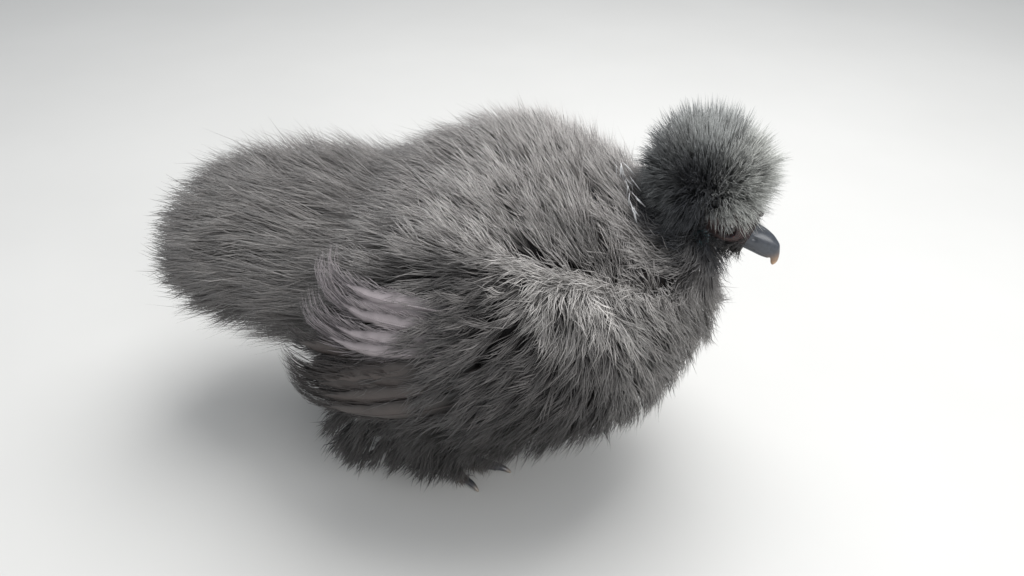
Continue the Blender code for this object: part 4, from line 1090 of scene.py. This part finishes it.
# Each toe: name, bearing in degrees outwards from straight ahead, length, rise of the tip, radius share.
TOES = (
    ("inner", -24, 0.034, 0.0, 0.95), ("middle", 2, 0.046, 0.0, 1.0), ("outer", 28, 0.037, 0.0, 0.92),
    ("back", 180, 0.019, 0.0, 0.85), ("fifth", 212, 0.016, 0.0035, 0.75),
)
TOE_RADIUS = 0.0040
# A claw: its length, how far its root sinks into the toe, how far its tip drops, and its share of the toe.
CLAW_LENGTH = 0.009
CLAW_SUNK = 0.0015
CLAW_DROP = 0.0022
CLAW_THICK = 0.55


def toe_points(side, bearing, length, rise, count):
    turn = math.radians(bearing)
    ahead = np.array((math.cos(turn), side * math.sin(turn), 0.0))
    start = np.array((ANKLE[0], side * FOOT_SPREAD, TOE_RADIUS - 0.0005))
    t = np.linspace(0, 1, count)[:, None]
    return start + ahead * length * t + np.array((0, 0, rise)) * t * t


def scuted(points, radii, pitch, sides=16):
    """A tube whose upper side steps in scutes, one every pitch."""
    run = np.concatenate([[0], np.cumsum(np.linalg.norm(np.diff(points, axis=0), axis=1))])
    step = (run / pitch) % 1.0
    shell, faces = tube(points, radii, sides)
    rings = shell.reshape(len(points), sides, 3)
    middle = np.asarray(points)[:, None]
    out = unit(rings - middle)
    top = np.clip(out[..., 2] * 1.4 + 0.1, 0, 1)
    ridge = 0.00032 * (1 - step)[:, None] * top
    pads = 0.0004 * np.clip(-out[..., 2], 0, 1) * np.sin(run / 0.0075 * math.tau)[:, None]
    return (rings + out * (ridge + pads)[..., None]).reshape(-1, 3), faces


def feet_skin():
    shells = []
    for _, side in SIDES:
        leg = np.array(((-0.014, 0.050), (-0.010, 0.027), ANKLE, (ANKLE[0] + 0.002, TOE_RADIUS)))
        t = np.linspace(0, 3, 46)
        x, z = (np.interp(t, range(4), leg[:, k]) for k in (0, 1))
        shank = np.stack([x, np.full(46, side * FOOT_SPREAD), z], axis=1)
        shells.append(scuted(shank, np.interp(t, range(4), (0.0058, 0.0052, 0.0054, 0.0042)), 0.0032))
        for _, bearing, length, rise, share in TOES:
            count = max(20, round(length / 0.0007))
            line = toe_points(side, bearing, length, rise, count)
            radii = np.interp(np.linspace(0, 1, count), (0, 0.3, 0.65, 1.0), (1.12, 1.0, 0.9, 0.62))
            shells.append(scuted(line, TOE_RADIUS * share * radii, 0.0026))
    skin = remeshed("feet_skin", shells, *FEET_GRAIN)
    points = points_of(skin)
    points[:, 2] = np.maximum(points[:, 2], 0.0001)
    set_points(skin, points)
    return skin


def body_skin():
    forms = [(torso_form, TORSO_DEPTH), (neck_form, NECK_DEPTH), (tail_form, TAIL_DEPTH)]
    forms += [(form, THIGH_DEPTH) for form in thigh_forms]
    shells = [inset(form, depth).shell(48, 32) for form, depth in forms]
    return remeshed("body_skin", shells, *BODY_GRAIN)


# Materials


def add_node(material, kind, links=(), **settings):
    """Adds one node: settings named like its properties or inputs are set, and links join its inputs."""
    tree = material.node_tree
    node = tree.nodes.new(kind)
    for name, value in settings.items():
        if name.startswith("in_"):
            key = name[3:]
            node.inputs[int(key) if key.isdigit() else key.replace("_", " ")].default_value = value
        else:
            setattr(node, name, value)
    for source, target in links:
        tree.links.new(source, node.inputs[target])
    return node


def new_material(name):
    material = bpy.data.materials.new(name)
    material.use_nodes = True
    material.node_tree.nodes.clear()
    return material


def kept_value(material, name, output="Fac"):
    """What the mesh keeps at its points under a name: a colour, or a number."""
    return add_node(material, "ShaderNodeAttribute", attribute_name=name).outputs[output]


def clouds(material, scale, detail):
    """Soft noise fixed to the piece, with so many spots to the metre."""
    place = add_node(material, "ShaderNodeTexCoord").outputs["Object"]
    noise = add_node(material, "ShaderNodeTexNoise", [(place, "Vector")], in_Scale=scale, in_Detail=detail)
    return noise.outputs["Fac"]


def ranged(material, source, low, high, start=0.0, end=1.0):
    """A value that runs from start to end, stretched to run from low to high."""
    return add_node(material, "ShaderNodeMapRange", [(source, "Value")],
                    in_1=start, in_2=end, in_3=low, in_4=high).outputs[0]


def ridged(material, run, lines):
    """A wave with so many ridges in each unit of a value."""
    turns = add_node(material, "ShaderNodeMath", [(run, 0)], operation="MULTIPLY", in_1=lines * math.tau)
    return add_node(material, "ShaderNodeMath", [(turns.outputs[0], 0)], operation="SINE").outputs[0]


def shaded(material, colour, shade):
    """A colour made darker or lighter by a value."""
    grey = add_node(material, "ShaderNodeCombineColor", [(shade, i) for i in range(3)])
    return add_node(material, "ShaderNodeMix", [(colour, 6), (grey.outputs[0], 7)],
                    data_type="RGBA", blend_type="MULTIPLY", in_0=1.0).outputs[2]


def raised(material, height, strength, depth):
    """A normal that shows a value as height."""
    bump = add_node(material, "ShaderNodeBump", [(height, "Height")], in_Strength=strength, in_Distance=depth)
    return bump.outputs[0]


def finished(material, links, **settings):
    """Gives a material its shader, with these sockets linked and the others set."""
    shader = add_node(material, "ShaderNodeBsdfPrincipled", links, **settings)
    add_node(material, "ShaderNodeOutputMaterial", [(shader.outputs[0], "Surface")])
    return material


def loose_plumage():
    """Silkie plumage, loose keratin barbs without hooks: soft and hair-like, with a faint silk gloss."""
    made = new_material("loose_plumage")
    # Patches of bleached and darker plumes about 12 mm across.
    patch = clouds(made, 80.0, 3.0)
    tone = shaded(made, kept_value(made, "tone", "Color"), ranged(made, patch, 0.84, 1.18, 0.3, 0.7))
    return finished(made, [(tone, "Base Color"), (ranged(made, patch, 0.50, 0.66), "Roughness")],
                    in_IOR=1.54, in_Sheen_Weight=0.12, in_Sheen_Roughness=0.45)


def quill_vane():
    """Flight feathers, keratin barbs zipped flat: smooth, glossier and pinkish grey, with a slant grain."""
    made = new_material("quill_vane")
    side = add_node(made, "ShaderNodeMath", [(kept_value(made, "across"), 0)], operation="ABSOLUTE")
    # Barbs run out and forward: one line each 1.2 mm of a 90 mm vane, coarser than the real 0.4 mm so that
    # they show.
    slant = add_node(made, "ShaderNodeMath", [(side.outputs[0], 0), (kept_value(made, "along"), 2)],
                     operation="MULTIPLY_ADD", in_1=-0.16)
    lines = ridged(made, slant.outputs[0], 75.0)
    # Worn and fresh parts about 6 mm across.
    cloud = clouds(made, 160.0, 3.0)
    grain = ranged(made, lines, 0.82, 1.08, -1.0, 1.0)
    worn = ranged(made, cloud, 0.85, 1.15, 0.3, 0.7)
    both = add_node(made, "ShaderNodeMath", [(grain, 0), (worn, 1)], operation="MULTIPLY")
    tone = shaded(made, kept_value(made, "tone", "Color"), both.outputs[0])
    return finished(made, [(tone, "Base Color"), (ranged(made, cloud, 0.34, 0.48), "Roughness"),
                           (raised(made, lines, 0.25, 0.0002), "Normal")], in_IOR=1.54)


def dark_skin():
    """Silkie skin, blackened with melanin: mulberry black, matt, with fine papillae; the lobes are blue."""
    made = new_material("dark_skin")
    place = add_node(made, "ShaderNodeTexCoord").outputs["Object"]
    # Papillae about 0.7 mm across, and a mottle about 2.4 mm across.
    cells = add_node(made, "ShaderNodeTexVoronoi", [(place, "Vector")], in_Scale=1400.0).outputs["Distance"]
    mottle = clouds(made, 420.0, 4.0)
    tone = shaded(made, kept_value(made, "tone", "Color"), ranged(made, mottle, 0.75, 1.3, 0.3, 0.7))
    return finished(made, [(tone, "Base Color"), (ranged(made, mottle, 0.45, 0.65), "Roughness"),
                           (raised(made, cells, 0.35, 0.0003), "Normal")],
                    in_IOR=1.42, in_Subsurface_Weight=0.12, in_Subsurface_Scale=0.0015)


def slate_horn():
    """Beak and claws, keratin in grown layers: polished slate with a pale worn tip and faint growth lines."""
    made = new_material("slate_horn")
    # Growth lines about 0.5 mm apart on an 18 mm beak, and cloudy spots about 1.7 mm across.
    lines = ridged(made, kept_value(made, "along"), 34.0)
    cloud = clouds(made, 600.0, 4.0)
    tone = shaded(made, kept_value(made, "tone", "Color"), ranged(made, cloud, 0.8, 1.2, 0.3, 0.7))
    return finished(made, [(tone, "Base Color"), (ranged(made, cloud, 0.24, 0.40), "Roughness"),
                           (raised(made, lines, 0.12, 0.0001), "Normal")],
                    in_IOR=1.55, in_Coat_Weight=0.35, in_Coat_Roughness=0.15)


def wet_eye():
    """The eye, a dark iris round a wide pupil under a wet clear cornea: dark with one sharp highlight."""
    made = new_material("wet_eye")
    ramp = add_node(made, "ShaderNodeValToRGB", [(kept_value(made, "along"), "Fac")])
    stops = ramp.color_ramp.elements
    stops[0].position, stops[0].color = 0.40, (*linear("#050404"), 1)
    stops[1].position, stops[1].color = 0.46, (*linear("#33221a"), 1)
    for position, colour in ((0.72, "#2a1c15"), (0.80, "#0c0908")):
        stops.new(position).color = (*linear(colour), 1)
    # Streaks about 0.3 mm apart in the iris.
    tone = shaded(made, ramp.outputs["Color"], ranged(made, clouds(made, 2600.0, 2.0), 0.6, 1.3, 0.3, 0.7))
    return finished(made, [(tone, "Base Color")], in_Roughness=0.08, in_IOR=1.38, in_Coat_Weight=1.0,
                    in_Coat_Roughness=0.02)


def studio_floor():
    """A matt painted board: pale and even, with a slight mottle so that it isn't flat."""
    made = new_material("studio_floor")
    tone = add_node(made, "ShaderNodeMix", [(clouds(made, 6.0, 4.0), 0)], data_type="RGBA",
                    in_6=(*linear("#c9c8c5"), 1), in_7=(*linear("#d1d0cd"), 1))
    return finished(made, [(tone.outputs[2], "Base Color")], in_Roughness=0.8)


def dressed(obj, material, *nodes, slot):
    """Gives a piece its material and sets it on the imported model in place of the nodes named."""
    obj.data.materials.clear()
    obj.data.materials.append(material)
    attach(obj, "root")
    if nodes:
        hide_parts(*nodes)
    return obj


# Beak, claws, eyes

BEAK = (
    (0.0150, -0.0050, 0.0069, 0.0068), (0.0225, -0.0052, 0.0062, 0.0067), (0.0275, -0.0058, 0.0052, 0.0065),
    (0.0325, -0.0073, 0.0037, 0.0060), (0.0360, -0.0092, 0.0023, 0.0052), (0.0382, -0.0108, 0.0011, 0.0032),
)
LOWER_BEAK = (
    (0.0150, -0.0092, 0.0056, 0.0034), (0.0250, -0.0102, 0.0042, 0.0027), (0.0305, -0.0112, 0.0026, 0.0020),
    (0.0342, -0.0116, 0.0012, 0.0012),
)
BEAK_ROUND = (0.004, 0.0015)
MOUTH_LINE = ((0.010, -0.0082), (0.0290, -0.0102), (0.0345, -0.0110), (0.0358, -0.0150), (0.0390, -0.0160))
NOSTRIL = (0.0232, 0.0058, -0.0034)


def beak_piece(name, stations, upper):
    """One half of the beak: its form closed flat along the mouth line, with a sharp cutting edge."""
    form = Form(np.eye(4), stations, BEAK_ROUND)
    own, faces = form.shell(64, 60)
    line = np.array(MOUTH_LINE)
    mouth = np.interp(own[:, 0], line[:, 0], line[:, 1])
    if upper:
        hook = 0.0012 * eased(own[:, 0], 0.0350, 0.0372)
        own[:, 2] = np.maximum(own[:, 2] - hook, mouth + 0.0001)
        ridge = np.exp(-((own[:, 1] / 0.0016) ** 2)) * (own[:, 2] > mouth + 0.002)
        own[:, 2] += 0.00035 * ridge * (1 - eased(own[:, 0], 0.030, 0.035))
        for _, side in SIDES:
            gap = own - on_side(NOSTRIL, side)
            near = own[:, 1] * side > 0.001
            hole = np.exp(-((gap[:, 0] / 0.0014) ** 2) - (gap[:, 2] / 0.0007) ** 2) * near
            flap = np.exp(-((gap[:, 0] / 0.0020) ** 2) - ((gap[:, 2] - 0.0013) / 0.0009) ** 2) * near
            own[:, 1] -= side * (0.0011 * hole - 0.00045 * flap)
    else:
        own[:, 2] = np.minimum(own[:, 2], mouth - 0.0001)
    made = mesh_object(name, at_home(placed(HEAD_PLACE, own)), [f[::-1] for f in faces])
    share = (own[:, 0] - 0.017) / 0.020
    pale = (eased(share + 60 * (-0.0105 - own[:, 2]) * upper, 0.55, 1.30) ** 1.3)[:, None]
    tones = linear("#3d4148") * (1 - pale) + linear("#a5825f") * pale
    if not upper:
        tones = tones * 0.8
    give_colours(made, tones)
    give_number(made, "along", share)
    return made


def eye_piece(name, side):
    """An eyeball whose cornea bulges from it, with the distance from its axis kept for the iris."""
    points, faces = ellipsoid((0, 0, 0), (1, 1, 1), None, 48, 40)
    axis = unit(np.array((0.22, side * 1.0, 0.02)))
    turned = np.array(Vector((0, 0, 1)).rotation_difference(Vector(axis)).to_matrix())
    off = np.arccos(np.clip(points[:, 2], -1, 1))
    bulge = 0.05 * (1 - eased(off, 0.35, 0.95))
    points = points * (1 + bulge)[:, None] @ turned.T * EYE_RADIUS
    points = points + on_side(EYE_PLACE, side)
    made = mesh_object(name, at_home(placed(HEAD_PLACE, points)), faces)
    give_number(made, "along", np.clip(off / 1.15, 0, 1))
    return made


def claw_piece(name, side, bearing, length, rise, share):
    """A claw, arched and tapering to a blunt worn tip."""
    line = toe_points(side, bearing, length, rise, 4)
    ahead = unit(line[-1] - line[-2])
    root = line[-1] - ahead * CLAW_SUNK
    radius = TOE_RADIUS * share * CLAW_THICK
    drop = min(CLAW_DROP, root[2] - radius * 0.5)
    t = np.linspace(0, 1, 18)
    arch = 0.0007 * np.sin(np.pi * t)
    points = root + ahead * ((CLAW_LENGTH + CLAW_SUNK) * t)[:, None]
    points = points + np.array((0, 0, 1)) * (arch - drop * t * t)[:, None]
    radii = radius * 1.05 * np.sqrt(1 - t**1.6 * 0.985)
    shell, faces = tube(points, radii, 12)
    shell[:, 2] = np.maximum(shell[:, 2], 0.0001)
    made = mesh_object(name, at_home(shell), [f[::-1] for f in faces])
    share_along = np.repeat(t, 12)
    pale = eased(share_along, 0.5, 1.0)[:, None]
    give_colours(made, linear("#3a3c42") * (1 - pale) + linear("#8d8276") * pale)
    give_number(made, "along", share_along * 0.5)
    return made


# Face and foot fluff


def short_fluff(name, base, out, lie, length, thick, root_tone, tip_tone, stand, rng, chart):
    """Small single barbs set in the skin, each lying along its lie and standing off it a little."""
    count = len(base)
    t = np.linspace(0, 1, 5)[None, :, None]
    length = np.broadcast_to(length, count)
    reach = (length * rng.uniform(0.7, 1.25, count))[:, None, None]
    guide = base[:, None] - out[:, None] * 0.0003 + lie[:, None] * reach * t
    guide = guide + out[:, None] * reach * stand * t**0.8
    along = unit(np.gradient(guide, axis=1))
    ups = laid_flat(out[:, None], along)
    of = np.repeat(np.arange(count), 4)
    total = len(of)
    spread = rng.normal(0, 0.18, total) * length[of]
    rise = rng.normal(0, 0.09, total) * length[of]
    barbs = Barbs()
    shade = rng.lognormal(0, 0.14, total)[:, None]
    barbs.add(guide, ups, of, np.zeros(total), rng.uniform(0.75, 1.0, total), spread, rise,
              thick * rng.uniform(0.7, 1.2, total), 0.05 * length[of], rng,
              root_tone * shade, tip_tone * shade, chart(guide[of, 0]))
    return barbs.made(name)


def face_fluff(skin):
    """Short down on the cheeks, chin and lores, left off the lids, the lobes and the beak."""
    rng = np.random.default_rng(SEED + 3)
    count = 1150 if FULL else 600
    s = rng.uniform(-0.020, 0.0205, count * 4)
    turn = rng.uniform(0, math.tau, count * 4)
    places = head_form.points(s, turn)
    own = in_head(places)
    eye = np.hypot(own[:, 0] - EYE_PLACE[0], own[:, 2] - EYE_PLACE[2])
    lobe = np.hypot((own[:, 0] - LOBE_PLACE[0]) / 0.0050, (own[:, 2] - LOBE_PLACE[2]) / 0.0060)
    keep = (eye > 0.0088) & (lobe > 1.0) & (own[:, 2] < 0.011)
    places, own = places[keep][:count], own[keep][:count]
    base, out = skin.under(places)
    chin = eased(-own[:, 2], 0.006, 0.011)
    way = np.stack([-(1 - 0.9 * chin), 0 * chin, -0.45 - 0.6 * chin], axis=1)
    way = way @ HEAD_PLACE[:3, :3].T
    way = laid_flat(way, out)
    length = 0.0042 + 0.0050 * chin - 0.0016 * eased(own[:, 0], 0.014, 0.019)
    return short_fluff("face_down", base, out, way, length, 0.00032, linear("#17161a"),
                       linear("#4d4a47"), 0.50, rng, head_map)


def foot_fluff(skin):
    """Plumes down the outer side of each shank and over the outer and middle toes."""
    rng = np.random.default_rng(SEED + 4)
    places, ways = [], []
    for _, side in SIDES:
        for _ in range(150 if FULL else 80):
            z = rng.uniform(0.008, 0.034)
            turn = rng.uniform(-0.9, 2.4)
            x = ANKLE[0] - 0.010 * max(0.0, (z - 0.010) / 0.017)
            spot = (x + 0.006 * -math.sin(turn), side * (FOOT_SPREAD + 0.006 * math.cos(turn)), z)
            places.append(spot)
            ways.append((-0.45, side * 0.35, -0.8))
        for _, bearing, length, rise, _ in (TOES[1], TOES[2]):
            line = toe_points(side, bearing, length, rise, 2)
            for _ in range(60 if FULL else 30):
                t = rng.uniform(0.05, 0.85)
                spot = line[0] + (line[1] - line[0]) * t + np.array((0, side * rng.uniform(0, 0.003), 0.004))
                places.append(tuple(spot))
                ways.append((0.55, side * rng.uniform(0.3, 1.0), 0.05))
    base, out = skin.under(np.array(places))
    way = np.array(ways)
    way = laid_flat(way, out)
    return short_fluff("foot_plumes", base, out, way, 0.0115, 0.00050, linear("#2e2a28"),
                       linear("#5f5852"), 0.30, rng, body_map)


# The whole bird


def skin_colours(points):
    """The skin's colour at each point: the plumage's markings with its painted shade and light, blackened,
    and the head's and feet's tones.
    """
    weights = region_weights(points)
    coat, _ = marked(points, region_colours(weights, ROOT_TONE), region_colours(weights, TIP_TONE))
    tones = coat * 0.35 + linear("#161214")
    own = in_head(points)
    on_head = 1 - eased(head_form.above(points), 0.002, 0.006)
    ring, here = wrinkles(own)
    ridge = (here * (0.5 + 0.5 * ring))[:, None]
    face = linear("#261b1e") * (1 - ridge) + linear("#544745") * ridge
    tones = tones * (1 - on_head[:, None]) + face * on_head[:, None]
    comb = eased(own[:, 2] + 0.35 * (own[:, 0] - 0.012), 0.0095, 0.0125) * (own[:, 0] > 0.004) * on_head
    tones = tones * (1 - 0.5 * comb[:, None])
    for _, side in SIDES:
        gap = own - np.array((LOBE_PLACE[0], side * (LOBE_PLACE[1] + 0.0012), LOBE_PLACE[2]))
        off = np.linalg.norm(gap / np.array((0.0050, 0.0030, 0.0062)), axis=1)
        blue = (1 - eased(off, 0.75, 1.1))[:, None]
        tones = tones * (1 - blue) + linear("#54686d") * blue
    feet = (1 - eased(points[:, 2], 0.020, 0.030))[:, None]
    return tones * (1 - feet) + linear("#2d2a2f") * feet


def dress_the_bird():
    head = head_skin()
    body = body_skin()
    skin = united(body, feet_skin())
    skin = united(skin, head)
    skin.name = "skin"
    skin.data.name = "skin"
    skin.data.shade_smooth()
    surface = Surface(skin)
    give_colours(skin, skin_colours(points_of(skin)))
    set_points(skin, at_home(points_of(skin)))
    flesh = ["torso", "neck", "head", "comb", "tail"]
    for side_name, _ in SIDES:
        flesh += [f"{part}_{side_name}" for part in ("earlobe", "wattle", "thigh", "foot", "wing")]
    dressed(skin, dark_skin(), *flesh, slot="skin")

    plume = loose_plumage()
    stands_for = {"tail": "tail", "neck": "neck", "thigh": "thigh_{}", "flank": "torso"}
    for region, side_name, piece in body_plumage(surface):
        node = stands_for.get(region, "torso").format(side_name)
        dressed(piece, plume, node, slot="dark_plumage" if region == "neck" else "plumage")
    dressed(crest_plumes(), plume, "crest", slot="dark_plumage")
    dressed(face_fluff(surface), plume, slot="dark_plumage")
    dressed(foot_fluff(surface), plume, slot="plumage")

    guide_object = outline_surface()
    guide = Surface(guide_object)
    bpy.data.objects.remove(guide_object)
    dressed(pin_feathers(guide), plume, slot="plumage")
    vane = quill_vane()
    for side_name, side in SIDES:
        rng = np.random.default_rng(SEED + 10 + side)
        paths = quill_paths(guide, side, rng)
        blades = quill_blades(f"wing_quills_{side_name}", *paths, rng)
        dressed(blades, vane, f"wing_{side_name}", slot="plumage")
        fringe = quill_fringe(f"quill_barbs_{side_name}", *paths, rng)
        dressed(fringe, plume, f"wing_{side_name}", slot="plumage")

    horn = slate_horn()
    dressed(beak_piece("beak_top", BEAK, True), horn, "beak_upper", slot="horn")
    dressed(beak_piece("beak_bottom", LOWER_BEAK, False), horn, "beak_lower", slot="horn")
    eye = wet_eye()
    for side_name, side in SIDES:
        dressed(eye_piece(f"eyeball_{side_name}", side), eye, f"eye_{side_name}", slot="eye")
        for toe, bearing, length, rise, share in TOES:
            claw = claw_piece(f"horn_claw_{toe}_{side_name}", side, bearing, length, rise, share)
            dressed(claw, horn, f"claw_{toe}_{side_name}", slot="horn")


# Studio

CAMERA_PLACE = (0.15280, -0.39616, 0.39228)
CAMERA_AHEAD = (-0.20944614, 0.79522994, -0.568983)
CAMERA_UP = (-0.15428485, 0.54772385, 0.82231063)
CAMERA_FIELD = math.radians(60.49)
FLOOR_HALF = 3.0
SKY_TONE = (0.86, 0.90, 0.95, 1)
SKY_POWER = 0.55
# Each lamp: name, place, size and power. All look at the bird's middle.
LAMPS = (("overhead", (0.15, 0.30, 1.10), 0.9, 15.0), ("front", (0.75, -0.80, 0.75), 0.7, 7.0))
BIRD_MIDDLE = (0.03, 0, 0.11)


def studio():
    """A pale floor, a wide soft light overhead and a weaker one from the front, and the photo's camera."""
    corners = [(FLOOR_HALF * x, FLOOR_HALF * y, 0) for x, y in ((-1, -1), (1, -1), (1, 1), (-1, 1))]
    floor = mesh_object("floor", corners, [(0, 1, 2, 3)], False)
    floor.data.materials.append(studio_floor())
    world = bpy.data.worlds.new("studio")
    world.use_nodes = True
    sky = world.node_tree.nodes["Background"]
    sky.inputs[0].default_value = SKY_TONE
    sky.inputs[1].default_value = SKY_POWER
    bpy.context.scene.world = world
    for name, place, size, power in LAMPS:
        lamp = bpy.data.lights.new(name, "AREA")
        lamp.size = size
        lamp.energy = power
        light = bpy.data.objects.new(name, lamp)
        light.location = place
        light.rotation_euler = (Vector(BIRD_MIDDLE) - Vector(place)).to_track_quat("-Z", "Y").to_euler()
        bpy.context.scene.collection.objects.link(light)
    lens = bpy.data.cameras.new("photo_camera")
    lens.sensor_fit = "HORIZONTAL"
    lens.angle = CAMERA_FIELD
    lens.clip_start = 0.01
    camera = bpy.data.objects.new("photo_camera", lens)
    ahead, up = Vector(CAMERA_AHEAD).normalized(), Vector(CAMERA_UP).normalized()
    right = ahead.cross(up).normalized()
    up = right.cross(ahead)
    turn = Matrix((right, up, -ahead)).transposed().to_4x4()
    camera.matrix_world = Matrix.Translation(at_home(CAMERA_PLACE)) @ turn
    bpy.context.scene.collection.objects.link(camera)
    bpy.context.scene.camera = camera
    bpy.context.scene.view_settings.view_transform = "Standard"


dress_the_bird()
studio()
